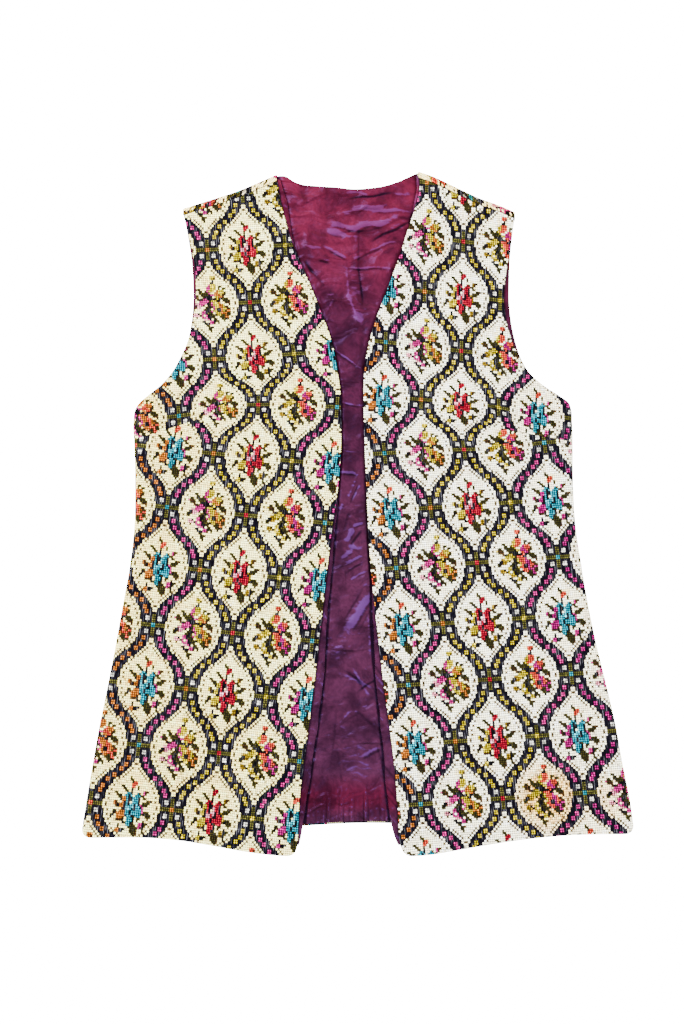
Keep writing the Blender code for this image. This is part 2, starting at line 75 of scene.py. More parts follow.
# y, x of the right side, right front edge, left front edge and left side, width of the side's rounding,
# 1 where the side is sewn and 0 in the armhole, and how far the back shows past each front
LEVELS = table("""
-350 -275.0 -60.5 43.5 275.0 5.0 1.0 0.0 0.0
-322 -273.0 -59.0 40.0 273.0 5.0 1.0 0.0 0.0
-300 -270.0 -58.2 39.0 270.5 5.0 1.0 0.0 0.0
-260 -264.0 -54.0 36.0 263.5 5.0 1.0 0.0 0.0
-220 -257.5 -48.5 31.0 257.0 5.0 1.0 0.0 0.0
-180 -250.0 -43.5 25.5 248.5 5.0 1.0 0.0 0.0
-140 -243.0 -39.0 21.0 239.5 5.0 1.0 0.0 0.0
-100 -236.5 -34.5 16.5 232.0 5.0 1.0 0.0 0.0
-60 -230.0 -30.0 12.7 226.0 5.0 1.0 0.0 0.0
-20 -226.5 -25.0 10.5 221.0 5.5 1.0 0.0 0.0
20 -226.5 -19.5 8.7 219.5 6.5 1.0 0.0 0.0
60 -228.0 -16.8 7.3 219.8 8.5 1.0 0.0 0.0
85 -229.3 -16.8 6.5 219.6 10.0 1.0 0.0 0.0
98 -227.5 -17.0 6.2 218.8 9.0 0.9 0.0 0.0
105 -223.0 -17.0 6.1 216.0 6.0 0.5 0.0 0.2
112 -214.8 -17.2 6.2 206.5 3.0 0.15 0.0 0.4
122 -202.5 -18.2 6.2 191.5 2.0 0.0 0.2 0.6
135 -191.3 -20.0 6.8 177.5 2.0 0.0 0.3 1.0
150 -183.0 -22.3 8.5 168.0 2.0 0.0 0.4 1.5
170 -174.5 -27.0 12.5 159.2 2.0 0.0 0.8 3.8
190 -169.8 -33.5 18.5 153.8 2.0 0.0 1.6 5.4
210 -167.3 -41.5 25.5 151.7 2.0 0.0 2.6 5.6
235 -167.2 -51.5 35.0 153.3 2.0 0.0 3.4 4.4
260 -170.6 -62.5 44.0 157.4 2.0 0.0 2.2 1.6
285 -176.3 -71.5 51.8 161.3 2.0 0.0 0.8 0.6
310 -182.0 -78.0 60.0 164.5 2.0 0.0 0.0 0.0
330 -185.0 -82.0 64.6 166.0 2.0 0.0 0.0 0.0
352 -188.0 -84.8 63.6 167.0 2.0 0.0 0.0 0.0
""")

# Hem of the fronts: share of the way from the front edge to the side, y on the right and on the left
HEM = table("""
0.00 -350.0 -350.0
0.10 -348.8 -348.8
0.25 -345.0 -343.6
0.40 -339.3 -337.8
0.55 -334.2 -332.8
0.70 -331.6 -329.6
0.85 -331.2 -328.2
1.00 -331.0 -327.4
""")

# Hem of the back: x, y
BACK_HEM = ((-273.0, -330.5), (-160.0, -325.0), (-54.0, -320.4), (-3.0, -317.8), (40.0, -318.0),
            (150.0, -323.0), (273.0, -328.0))

# Shoulder folds: share of the way from the neck point to the tip, y on the right and on the left
SHOULDER = table("""
0.00 346.5 350.0
0.15 339.8 344.6
0.40 329.2 332.4
0.65 320.8 320.4
0.85 314.4 313.0
1.00 309.6 306.0
""")

# Back neckline between the two neck points: x, y
NECK = ((-84.0, 346.5), (-73.5, 345.5), (-67.5, 341.0), (-59.5, 337.6), (-45.0, 335.8), (-22.0, 334.2),
        (-3.0, 332.2), (12.0, 333.2), (29.0, 335.8), (46.0, 341.6), (57.0, 346.8), (64.0, 350.0))

# How far the front lining rolls out past the front edge: y, right, left; negative stays hidden
SHOW = table("""
-350 0.0 0.0
-343 0.8 1.4
-335 2.2 3.6
-320 4.6 7.0
-300 6.6 9.0
-235 8.5 8.8
-160 8.0 6.0
-100 5.0 2.0
-70 4.4 -0.6
-40 3.6 -0.6
0 1.6 -0.6
25 -0.6 -0.6
250 -0.6 -0.6
268 1.6 -0.6
293 4.0 -0.6
318 6.0 2.4
348 2.0 2.6
""")

# Bust darts: panel, x and y at the side seam, x and y at the point, groove depth and half width there
DARTS = (
    ("front_right", -229.0, 66.0, -108.0, 106.0, 1.5, 5.0),
    ("front_left", 219.0, 64.0, 118.0, 84.0, 1.5, 5.0),
)

# Soft swells and folds of the fronts: x, y, heading in degrees from +X, length, width, height
SWELLS = table("""
-100 100 20 90 36 2.4
112 84 -10 90 36 2.4
-196 118 38 60 16 2.2
190 112 -38 60 16 2.0
-150 170 78 90 18 1.0
132 176 100 90 18 1.0
-205 -40 84 150 22 1.4
196 -60 97 150 22 1.4
-120 -150 96 200 26 1.2
120 -190 82 200 26 1.2
-96 262 60 100 20 0.9
98 250 118 100 20 0.9
-176 -262 74 110 24 1.0
186 -250 106 110 24 1.0
""")

# Creases of the back lining between the fronts: x, y, heading, length, width, and how light their crest
# catches or, below 0, how dark their trough is
LINING_CREASES = table("""
0 327.5 -3 28 1.8 0.7
14 324 8 56 1.5 -0.9
39 326.5 0 44 1.5 0.5
-7 308.4 20 24 2.2 0.6
13 312.4 4 32 2.2 0.9
33 308 -2 62 1.7 0.7
20 310 2 50 4.0 0.35
-15 291.4 -6 34 3.2 0.9
12 292.8 11 37 3.6 1.0
32 297.6 14 28 3.2 0.7
4 286.4 6 60 1.4 -0.5
-20.5 284 -23 29 2.6 0.9
-5 280 0 14 1.5 0.5
-47.5 270.4 -15 20 1.8 0.6
-34.5 268.6 -14 18 1.5 0.4
-21 263.2 -25 31 2.2 0.7
-21 259.6 -25 28 1.5 -0.4
1.4 268 90 56 1.1 -0.4
-1.6 266 91 44 2.0 0.35
3.4 228 96 46 1.3 -0.7
13 247.2 0 66 1.2 0.7
13 245 0 60 1.2 -0.4
-6 230 95 48 9.0 0.28
0 207 115 40 7.0 0.30
1.4 195 125 18 2.6 0.9
-10.2 231 96 36 1.2 0.4
-4 205 111 33 1.2 0.5
35 286 26 52 1.6 -0.9
34 289.4 26 44 1.8 0.3
13 265 27 36 1.3 0.5
14 262.6 27 36 1.3 -0.5
34 273.4 14 22 1.3 0.6
51 301.5 8 24 3.6 -0.6
-51 248 120 18 2.2 -0.8
-34.5 254 -14 14 1.4 -0.7
-34.5 256.4 -14 12 1.3 0.4
-32.5 305 94 44 3.0 -0.3
-41 236.6 -48 30 3.0 -0.5
-28 218 4 11 1.2 0.5
-30 204 62 21 1.2 0.4
-10.7 151 -33 46 1.3 0.7
-12 148.8 -33 44 1.3 -0.4
6 172 82 40 3.0 -0.3
-5.6 103.6 -6 27 1.2 0.6
-5.6 101.6 -6 24 1.1 -0.4
-9 80 84 40 4.0 0.12
-5.7 54.5 -3 27 1.2 0.4
-8.7 32.4 -10 21 1.6 0.8
-8.4 30 -10 20 1.2 -0.4
-5.7 17 68 28 1.6 0.5
-0.8 14 67 20 1.3 0.4
-3.4 11 66 24 1.3 -0.6
1 -20.4 25 16 1.8 0.9
-17 -3 60 9 2.0 0.8
-11 -16 74 24 2.2 -0.5
-8.3 -31.6 60 15 3.0 0.9
-2.7 -43 -25 18 2.0 0.8
-1.6 -34 50 20 1.8 -0.7
-11.3 -51 40 19 2.2 0.8
-5.3 -57 33 26 1.8 0.7
-2 -61.6 33 23 1.3 0.4
-4 -65 33 26 1.4 -0.5
1.3 -71.6 29 27 1.6 0.6
10.7 -82.3 5 15 1.6 0.5
1.7 -108 57 56 4.4 1.0
-5 -103 60 44 1.8 -0.5
8 -116 62 36 1.4 -0.4
-12.3 -141 54 34 7.0 0.40
14.2 -135 92 62 1.3 -0.9
11.6 -135 92 54 1.5 0.4
17.2 -130 92 60 1.4 0.45
20.5 -140 94 80 1.2 -0.7
24 -170 96 70 1.3 0.4
27 -205 98 60 1.2 -0.6
5.2 -181 -26 52 1.6 0.5
1.2 -177 -60 36 1.6 0.6
11 -181 34 28 1.3 -0.7
-3.3 -175 -38 26 1.6 -0.7
8 -196 80 30 3.0 0.3
-13.4 -214 44 18 1.3 0.6
-4.4 -208.6 12 14 1.3 0.6
-9 -216 30 26 1.3 -0.4
9.5 -216 -42 34 2.0 -0.5
12 -248 24 26 1.4 0.5
12.6 -251 24 24 1.2 -0.5
-4 -251 90 70 17.0 0.28
-24 -235 84 70 1.5 -0.4
-18 -262 100 46 1.5 -0.4
24 -262 104 50 1.5 -0.5
""")

# Colour of the satin by level: y, red, green and blue
SATIN_LEVELS = table("""
-331 0.0185 0.0045 0.0125
-312 0.0180 0.0034 0.0098
-299 0.0185 0.0014 0.0048
-288 0.0175 0.0013 0.0046
-268 0.0145 0.0032 0.0090
-60 0.0135 0.0028 0.0078
100 0.0120 0.0020 0.0062
190 0.0140 0.0019 0.0060
255 0.0235 0.0021 0.0064
345 0.0280 0.0021 0.0064
""")
# colours of the painted lavender highlights on the lining, lower down and towards the neck
SHEEN_LOW = (0.032, 0.0105, 0.052)
SHEEN_HIGH = (0.043, 0.0085, 0.038)
OPENING_LIFT = 0.9
CREST_SLOPE = 0.34
LARGEST_CREST = 1.3

# Gathers of the back lining along its hem
GATHERS = 21
GATHER_HEIGHT = 1.0
GATHER_REACH = 40.0

# The weave: stitch columns and rows of one repeat, half-widths of an ogee by rows from its middle
ACROSS = 40
UP = 54
OGEE = ((0, 13.6), (4, 13.2), (8, 11.5), (12, 8.1), (15, 4.1), (16, 3.0), (18, 1.7), (20, 1.1), (21.5, 0.0))
SQUARE_ROWS = (6.0, 8.5, 11.0, 13.5, 16.0, 18.5, 21.0)

# How the repeat lies on each front above and below its dart: a crossing's middle, one repeat across, one up
GRAIN = {
    "right": (((-155.5, 265.5), (80.5, 4.5), (-8.5, 115.5)), ((-122.0, 290.5), (80.0, -8.0), (12.5, 119.0))),
    "left": (((69.5, 221.0), (78.0, -9.0), (3.0, 115.5)), ((51.0, 230.5), (81.5, 5.5), (-11.5, 117.0))),
}
BACK_GRAIN = ((-3.0, 40.0), (80.5, 0.0), (0.0, 118.0))

# Two bouquets, one letter a stitch: o leaf, b brown, k black, m main colour, h its highlight, t bud,
# l left flower, r right flower, a accent
UPRIGHT = """
....................
........o...........
........oo..........
.........ott........
.........ttt........
....oo...tt.o.......
.....oo..k..o.......
......oo.k.....rbb..
.oo....mmk..mb.rb...
..boo.mmkm.mmmbo....
...oollmkkmmmk.oo...
....kllmkkhmmk...obb
.lb..lkmk.hmmk.oooo.
.lbkllkmkhhkmkrooo..
..bkllkhhmhkmmkr....
.....kkhhmkkmmmr....
.oo.lllmmkmmmmmrooo.
.kbllllmmkmmmmmokooo
ok.llllkmmkommm..oob
o..lllb.mmmk.oo...b.
...bbbk.mmmk.o..k...
......kommko..rrkoo.
....k...mmooo.rrko..
....k....ooooorbk...
...llkkk..oooo..o...
...llkk...ooob..o...
...........oob......
............b.......
""".split()
SPRAY = """
..........rrr.......
..........rrb.......
...........k........
..........kk........
.........lrrr.......
........llrrr.oo....
...oo...llrrr.o.oo..
....oo.olrrr.arrr...
.oo.oooool..aarrro..
lbbo.ooookllaaarbo..
.obb..okkkk.rraab...
...bkollkkkkkrkkooo.
....lllllorrrkk.oooo
..hhllllkolrrra..obb
.kkhhlo.kolrrraar..b
okbhh..ookolrraarbb.
oo....ooko.lrkkarrbb
.....llkkolrrkkaroaa
.hhk.llkooo.rrraaaoo
.hhhkl.lkoookrrooaoo
..b..lllkkoo..oooaa.
......hhlk.oo..ooko.
.....kk..llkoo..k...
......kkkllb.o......
.......oo...........
........oob.........
........oo..........
.........o..........
""".split()

# Yarn colours, linear red, green and blue
YARN = {
    "cream": (0.97, 0.84, 0.40),
    "navy": (0.0016, 0.0014, 0.0030),
    "black": (0.0012, 0.0012, 0.0016),
    "olive": (0.0170, 0.0150, 0.0030),
    "moss": (0.0400, 0.0380, 0.0075),
    "brown": (0.0250, 0.0120, 0.0036),
    "umber": (0.0520, 0.0350, 0.0150),
    "white": (0.42, 0.41, 0.36),
    "turquoise": (0.002, 0.155, 0.205),
    "aqua": (0.035, 0.350, 0.430),
    "red": (0.215, 0.0012, 0.0120),
    "rose": (0.62, 0.200, 0.260),
    "pink": (0.330, 0.0110, 0.125),
    "magenta": (0.230, 0.0030, 0.095),
    "yellow": (0.340, 0.262, 0.0006),
    "mustard": (0.160, 0.098, 0.0020),
    "orange": (0.290, 0.080, 0.0060),
    "coral": (0.400, 0.034, 0.016),
}
NAMES = list(YARN)

# Ground of each panel, and its warm places, real stains and painted shade on the side's rounding: panel, x,
# y, reach across, reach up, strength
GROUNDS = {"right": (0.97, 0.85, 0.32), "left": (0.98, 0.91, 0.64), "back": (0.97, 0.86, 0.42)}
STAIN_AND_SHADE_TINTS = {"right": (0.84, 0.62, 0.17), "left": (0.80, 0.48, 0.17), "back": (0.84, 0.62, 0.17)}
STAINS_AND_SHADE = (
    ("left", 190, -293, 36, 32, 0.90),
    ("left", 247, -296, 22, 26, 0.55),
    ("left", 214, -306, 40, 14, 0.40),
    ("left", 228, -150, 26, 90, 0.16),
    ("left", 186, 92, 50, 34, 0.16),
    ("left", 110, 286, 40, 30, 0.14),
    # painted shade: the rounding of the right side under the arm, laid in as a warm place
    ("right", -222, 98, 26, 34, 0.50),
    ("right", -196, 60, 56, 60, 0.32),
    ("right", -226, -90, 70, 150, 0.34),
    ("right", -190, -262, 80, 70, 0.36),
    ("right", -120, 20, 40, 30, 0.16),
    ("right", -60, -262, 40, 50, 0.16),
    ("right", -160, 262, 40, 50, 0.18),
)

# Colours of the bouquets by column, in the order m h t l r a, and then those of the crossing and of the
# band's squares on the way to the next column
COLUMNS = (
    ("turquoise aqua coral orange pink orange", "turquoise", "pink"),
    ("pink rose yellow pink yellow orange", "orange", "yellow"),
    ("red rose red yellow mustard orange", "red", "yellow"),
    ("yellow mustard coral yellow coral magenta", "yellow", "pink"),
    ("turquoise aqua coral magenta pink pink", "turquoise", "magenta"),
    ("pink rose orange pink orange coral", "coral", "orange"),
)


def smooth(value):
    """Go smoothly from 0 to 1 as value does, and stay there outside that range."""
    t = np.clip(value, 0.0, 1.0)
    return t * t * (3.0 - 2.0 * t)


def fade(distance, near, far):
    """Weigh 1 up to near and fall smoothly to 0 at far."""
    return 1.0 - smooth((distance - near) / (far - near))


def mix(first, second, share):
    return first + (second - first) * share


def through(table, column, at=0):
    """Return a smooth function of the table's first column through the values of another one."""
    known = np.array([row[at] for row in table], dtype=float)
    values = np.array([row[column] for row in table], dtype=float)
    slopes = np.gradient(values, known)

    def read(where):
        where = np.clip(where, known[0], known[-1])
        i = np.clip(np.searchsorted(known, where) - 1, 0, len(known) - 2)
        span = known[i + 1] - known[i]
        t = (where - known[i]) / span
        rise = values[i + 1] - values[i]
        start = slopes[i] * span
        end = slopes[i + 1] * span
        bend = (3 * rise - 2 * start - end) * t ** 2
        return values[i] + start * t + bend + (start + end - 2 * rise) * t ** 3

    return read


class Side:
    """Outline curves of one half of the garment: the wearer's right lies at -X."""

    def __init__(self, name):
        right = name == "right"
        self.name = name
        self.sign = -1.0 if right else 1.0
        self.side = through(LEVELS, 1 if right else 4)
        self.edge = through(LEVELS, 2 if right else 3)
        self.roll = through(LEVELS, 5)
        self.back_show = through(LEVELS, 7 if right else 8)
        self.hem = through(HEM, 1 if right else 2)
        self.fold = through(SHOULDER, 1 if right else 2)
        self.lining_show = through(SHOW, 1 if right else 2)

    def closed(self, y):
        """Give 1 where the side is sewn to the back and 0 in the armhole."""
        return np.interp(y, [row[0] for row in LEVELS], [row[6] for row in LEVELS])

    def width(self, y):
        return self.sign * (self.side(y) - self.edge(y))

    def fold_at(self, x):
        """Give the shoulder fold's y above a point of the panel."""
        top = self.fold(0.0)
        share = (x - self.edge(top)) / (self.side(self.fold(1.0)) - self.edge(top))
        return self.fold(np.clip(share, 0.0, 1.0))

    def hem_at(self, along, width):
        """Give the hem's y at a distance from the front edge, its two corners rounded."""
        y = self.hem(np.clip(along / width, 0.0, 1.0))
        for distance in (along, width - along):
            short = np.clip(CORNER - distance, 0.0, CORNER)
            y = y + CORNER - np.sqrt(CORNER ** 2 - short ** 2)
        return y

    def turn_length(self, y):
        """Give the length of cloth that the side's rounding takes."""
        return self.roll(y) * (1.0 + 0.5 * self.closed(y))

    def rolled(self, flat_x, y, show=0.0):
        """Give x on the lying garment of a point of the flat cloth."""
        roll = self.roll(y)
        length = self.turn_length(y)
        inward = self.sign * (self.side(y) - flat_x) + show + length - roll
        turned = roll * (1.0 - np.cos(math.pi / 2 * np.clip(inward / length, 0.0, 1.0)))
        return self.side(y) - self.sign * (np.where(inward < length, turned, inward - length + roll) - show)

    def unrolled(self, x, y, show=0.0):
        """Give x on the flat cloth of a point of the lying garment."""
        roll = self.roll(y)
        length = self.turn_length(y)
        inward = self.sign * (self.side(y) - x) + show
        turn = length * 2 / math.pi * np.arccos(1.0 - np.clip(inward / roll, 0.0, 1.0))
        flat = np.where(inward < roll, turn, inward + length - roll)
        return self.side(y) + self.sign * (length - roll - flat + show)


RIGHT = Side("right")
LEFT = Side("left")
back_hem = through(BACK_HEM, 1)
neck_line = through(NECK, 1)
ogee_width = through(OGEE, 1)


def ridge(x, y, row):
    """Height at (x, y) of one soft fold: centre, heading, length, width and height."""
    centre_x, centre_y, heading, length, width, height = row
    turn = math.radians(heading)
    along = (x - centre_x) * math.cos(turn) + (y - centre_y) * math.sin(turn)
    across = -(x - centre_x) * math.sin(turn) + (y - centre_y) * math.cos(turn)
    return height * np.exp(-(across / width) ** 2) * fade(np.abs(along), 0.2 * length, 0.6 * length)


def dart_line(name):
    """Give the dart's start at the side, its direction, its length and the direction across it, upward."""
    for panel, side_x, side_y, point_x, point_y, row_shade_colour, half_width in DARTS:
        if panel == "front_" + name:
            run = np.array((point_x - side_x, point_y - side_y))
            length = math.hypot(*run)
            run = run / length
            across = np.array((-run[1], run[0])) * np.sign(run[0])
            return np.array((side_x, side_y)), run, length, across, row_shade_colour, half_width


def dart_groove(x, y, name):
    """Depth of the bust dart's seam, deepest at the side and gone at its point."""
    start, run, length, over, row_shade_colour, half_width = dart_line(name)
    along = ((x - start[0]) * run[0] + (y - start[1]) * run[1]) / length
    across = (x - start[0]) * over[0] + (y - start[1]) * over[1]
    width = half_width * (1.3 - 0.6 * np.clip(along, 0.0, 1.0))
    return row_shade_colour * np.exp(-(across / width) ** 2) * fade(along, 0.45, 1.0)


def front_top(half, x, y):
    """Height of a front's outer face at (x, y)."""
    from_side = half.sign * (half.side(y) - x)
    from_edge = half.sign * (x - half.edge(y))
    from_seam = half.fold_at(x) - FLAP - y
    closed = half.closed(y)
    roll = half.roll(y)
    z = LIE + EDGE_RISE * fade(from_edge, STRIP_WIDTH + 4.0, EDGE_SPREAD)
    for row in SWELLS:
        z = z + ridge(x, y, row)
    z = z + (CROWN - z) * closed * fade(from_side, roll, SIDE_SPREAD)
    z = z + (CROWN - z) * fade(from_seam, 3.0, SHOULDER_SPREAD)
    z = np.maximum(z - dart_groove(x, y, half.name), LIE - EDGE_TURN)
    z = z - DROOP * smooth((back_hem(x) - 4.0 - y) / DROOP_LENGTH)
    edge_z = closed * (SEAM_HEIGHT + GAP / 2) + (1.0 - closed) * (z - EDGE_TURN)
    round_over = np.sqrt(1.0 - np.clip(1.0 - from_side / roll, 0.0, 1.0) ** 2)
    z = edge_z + (z - edge_z) * round_over
    return z - EDGE_TURN * fade(from_edge, 0.0, 5.0)


def back_under(half, x, y):
    """Height of the back's outer face, which lies on the surface and rounds up to the side seam."""
    from_side = half.sign * (half.side(y) - x) + half.back_show(y)
    roll = half.roll(y)
    round_over = np.sqrt(1.0 - np.clip(1.0 - from_side / roll, 0.0, 1.0) ** 2)
    return half.closed(y) * (SEAM_HEIGHT - GAP / 2) * (1.0 - round_over)


def lean(half, y, from_side):
    """Give how far the wall leans into the garment where it rounds the side: 1 is level, 0 upright."""
    return np.minimum(1.2 * half.closed(y), 1.0) * np.clip(1.0 - from_side / half.roll(y), 0.0, 1.0)


def chart_codes(rows, words):
    """Turn a bouquet's letters into yarn numbers, -1 where the ground shows."""
    picked = dict(zip("mhtlra", words.split()))
    picked.update(o="olive", b="brown", k="black")
    return np.array([[NAMES.index(picked[c]) if c != "." else -1 for c in row] for row in rows])


BOUQUETS = [chart_codes(UPRIGHT if n % 2 == 0 else SPRAY, COLUMNS[n][0]) for n in range(6)]


def pattern(p, q):
    """Yarn number of every stitch: cream ogees with bouquets in navy bands with squares and crossings."""
    code = np.full(p.shape, NAMES.index("navy"))
    for di in (0, 1):
        for dj in (0, 1):
            i = np.floor(p * 2 / ACROSS).astype(int) + di
            j = np.floor(q * 2 / UP).astype(int) + dj
            dx = p - i * ACROSS / 2
            dy = q - j * UP / 2
            column = (i + 1) % 6
            ogee = (i + j) % 2 == 1
            code = in_ogee(code, ogee, dx, dy, column)
            code = in_crossing(code, ~ogee, dx, dy, column)
    return code


def in_ogee(code, here, dx, dy, column):
    """Lay the cream ground of an ogee, its dotted line and its bouquet."""
    rows = np.floor(np.abs(dy)).astype(int)
    steps = np.floor(np.abs(dx)).astype(int)
    inside = here & (np.abs(dy) < 21.5) & (np.abs(dx) < ogee_width(np.abs(dy)))
    code = np.where(inside, NAMES.index("cream"), code)
    dots = np.floor(ogee_width(np.arange(24) + 0.5) - 0.5).astype(int) - 1
    apart = np.concatenate(([False], (dots[:-2] != dots[1:-1]) & (dots[1:-1] != dots[2:]), [False]))
    row = rows.clip(0, 23)
    dotted = (rows < 16) & (steps == dots[row]) & (apart[row] | (rows % 2 == 0))
    dotted |= (rows == 16) & (steps == 1)
    dotted |= (rows == 18) & (steps == 0)
    code = np.where(inside & dotted, NAMES.index("umber"), code)
    chart_row = np.floor(14.0 - dy).astype(int)
    chart_column = np.floor(dx).astype(int) + 10
    charted = inside & (chart_row >= 0) & (chart_row < 28) & (chart_column >= 0) & (chart_column < 20)
    for number, chart in enumerate(BOUQUETS):
        found = chart[chart_row.clip(0, 27), chart_column.clip(0, 19)]
        code = np.where(charted & (column == number) & (found >= 0), found, code)
    return code


def in_crossing(code, here, dx, dy, column):
    """Lay the crossing of two bands and the squares that climb from it on both sides."""
    wide = np.abs(dx)
    high = np.abs(dy)
    code = np.where(here & (wide < 6.5) & (high < 1), NAMES.index("moss"), code)
    code = np.where(here & (wide < 1) & (high < 5), NAMES.index("moss"), code)
    white = here & (wide > 2) & (wide < 4) & (high > 2) & (high < 4)
    code = np.where(white, NAMES.index("white"), code)
    for number, words in enumerate(COLUMNS):
        mine = here & (column == number)
        code = np.where(mine & (wide < 1) & (high < 1), NAMES.index(words[1]), code)
        for row in SQUARE_ROWS:
            middle = (ogee_width(UP / 2 - row) + ACROSS / 2 - ogee_width(row)) / 2
            level = mine & (np.abs(dy - row + 0.25) < 1)
            rising = level & (np.abs(dx - middle + 0.25) < 1)
            falling = level & (np.abs(dx + middle + 0.25) < 1)
            code = np.where(rising, NAMES.index(words[2]), code)
            code = np.where(falling, NAMES.index(COLUMNS[number - 1][2]), code)
    return code


def yarn_colours(code, panel, place_at, seed):
    """Give each stitch's colour, uneven from stitch to stitch, warmer by warm flowers, where stained and
    where painted shade lies on the side's rounding.
    """
    palette = np.array([YARN[name] for name in NAMES])
    palette[NAMES.index("cream")] = GROUNDS[panel]
    colours = palette[code]
    random = np.random.default_rng(seed)
    cream = code == NAMES.index("cream")
    warm = np.isin(code, [NAMES.index(name) for name in ("yellow", "mustard", "orange", "coral")])
    near = np.zeros(code.shape, dtype=bool)
    for rows in (-1, 0, 1):
        for columns in (-2, -1, 1, 2):
            near |= np.roll(np.roll(warm, rows, axis=0), columns, axis=1)
    near &= cream & (random.random(code.shape) < 0.35)
    colours[near] = colours[near] * np.array((1.0, 0.90, 0.66))
    # real stains and painted shade on the side's rounding, both tinting the cream ground
    stain_and_shade = np.zeros(code.shape)
    for name, x, y, reach_x, reach_y, strength in STAINS_AND_SHADE:
        if name == panel:
            away = ((place_at[..., 0] - x) / reach_x) ** 2 + ((place_at[..., 1] - y) / reach_y) ** 2
            stain_and_shade = np.maximum(stain_and_shade, strength * fade(np.sqrt(away), 0.5, 1.5))
    stain_and_shade = stain_and_shade * (0.8 + 0.4 * random.random(code.shape))
    tinted = colours * mix(1.0, np.array(STAIN_AND_SHADE_TINTS[panel]), stain_and_shade[..., None])
    colours = np.where(cream[..., None], tinted, colours)
    spread = np.where(cream, 0.24, 0.34)
    shade = np.exp(random.normal(0.0, 1.0, code.shape) * spread)
    return np.minimum(colours * shade[..., None], 0.98)


def boundary(faces, count):
    """Give the edges that only one face has, as pairs of vertices, with that face's number and corner."""
    start = faces.ravel()
    end = np.roll(faces, -1, axis=1).ravel()
    alone = ~np.isin(start * count + end, end * count + start)
    numbers = np.nonzero(alone)[0]
    return start[numbers], end[numbers], numbers // 4, numbers % 4


def nearest_on(points, lines):
    """Move each point to the nearest place on the given polylines."""
    starts = np.concatenate([line[:-1] for line in lines])
    spans = np.concatenate([line[1:] - line[:-1] for line in lines])
    offset = points[:, None, :] - starts[None]
    share = (offset * spans[None]).sum(-1) / np.maximum((spans ** 2).sum(-1), 1e-9)
    share = np.clip(share, 0.0, 1.0)
    found = starts[None] + spans[None] * share[..., None]
    distance = ((found - points[:, None, :]) ** 2).sum(-1)
    best = distance.argmin(1)
    return found[np.arange(len(points)), best]


def make_mesh(name, points, steps, faces, colours, stitches, lip=0.0, layer="Stitch"):
    """Make a cloth wall: an outer face, a rim, and a full inner face or, with lip, its outermost strip."""
    count = len(points)
    colours = np.broadcast_to(colours.reshape(len(faces), -1, 3), (len(faces), 4, 3))
    start, end, owner, corner = boundary(faces, count)
    inner = points + steps
    rim = np.stack((end, start, start + count, end + count), axis=1)
    rim_corners = np.stack(((corner + 1) % 4, corner, corner, (corner + 1) % 4), axis=1)
    rim_stitches = stitches[owner[:, None], rim_corners]
    if lip:
        towards = np.zeros((count, 3))
        middles = points[faces].mean(1)[owner]
        for ends in (start, end):
            np.add.at(towards, ends, middles - (points[start] + points[end]) / 2)
        length = np.linalg.norm(towards, axis=1, keepdims=True)
        lipped = inner + towards / np.maximum(length, 1e-9) * lip
        all_points = np.concatenate((points, inner, lipped))
        last = np.stack((end + count, start + count, start + 2 * count, end + 2 * count), axis=1)
        all_faces = np.concatenate((faces, rim, last))
        all_colours = np.concatenate((colours, colours[owner], colours[owner]))
        all_stitches = np.concatenate((stitches, rim_stitches, rim_stitches))
    else:
        all_points = np.concatenate((points, inner))
        all_faces = np.concatenate((faces, rim, faces[:, ::-1] + count))
        all_colours = np.concatenate((colours, colours[owner], colours[:, ::-1]))
        all_stitches = np.concatenate((stitches, rim_stitches, stitches[:, ::-1]))
    used, again = np.unique(all_faces, return_inverse=True)
    all_points = all_points[used] * MM
    all_faces = again.reshape(all_faces.shape)
    mesh = bpy.data.meshes.new(name)
    mesh.vertices.add(len(all_points))
    mesh.vertices.foreach_set("co", all_points.astype(np.float32).ravel())
    mesh.loops.add(all_faces.size)
    mesh.loops.foreach_set("vertex_index", all_faces.astype(np.int32).ravel())
    mesh.polygons.add(len(all_faces))
    mesh.polygons.foreach_set("loop_start", (np.arange(len(all_faces)) * 4).astype(np.int32))
    mesh.update(calc_edges=True)
    painted = mesh.color_attributes.new("Yarn", "FLOAT_COLOR", "CORNER")
    rgba = np.ones((len(all_faces), 4, 4), dtype=np.float32)
    rgba[..., :3] = all_colours
    painted.data.foreach_set("color", rgba.ravel())
    woven = mesh.uv_layers.new(name=layer)
    woven.uv.foreach_set("vector", all_stitches.astype(np.float32).ravel())
    mesh.shade_smooth()
    mesh.set_sharp_from_angle(angle=math.radians(50))
    made = bpy.data.objects.new(name, mesh)
    bpy.context.scene.collection.objects.link(made)
    return made


def place(grain, p, q):
    """Give the plan position of a stitch corner under one lie of the repeat."""
    origin, across, up = grain
    x = origin[0] + across[0] * p / ACROSS + up[0] * q / UP
    y = origin[1] + across[1] * p / ACROSS + up[1] * q / UP
    return np.stack((x, y), axis=-1)


def stitch_range(grain, points):
    """Give the lowest and highest stitch column and row that cover some plan points."""
    origin, across, up = grain
    matrix = np.array(((across[0] / ACROSS, up[0] / UP), (across[1] / ACROSS, up[1] / UP)))
    found = (points - np.array(origin)) @ np.linalg.inv(matrix).T
    return found.min(0), found.max(0)


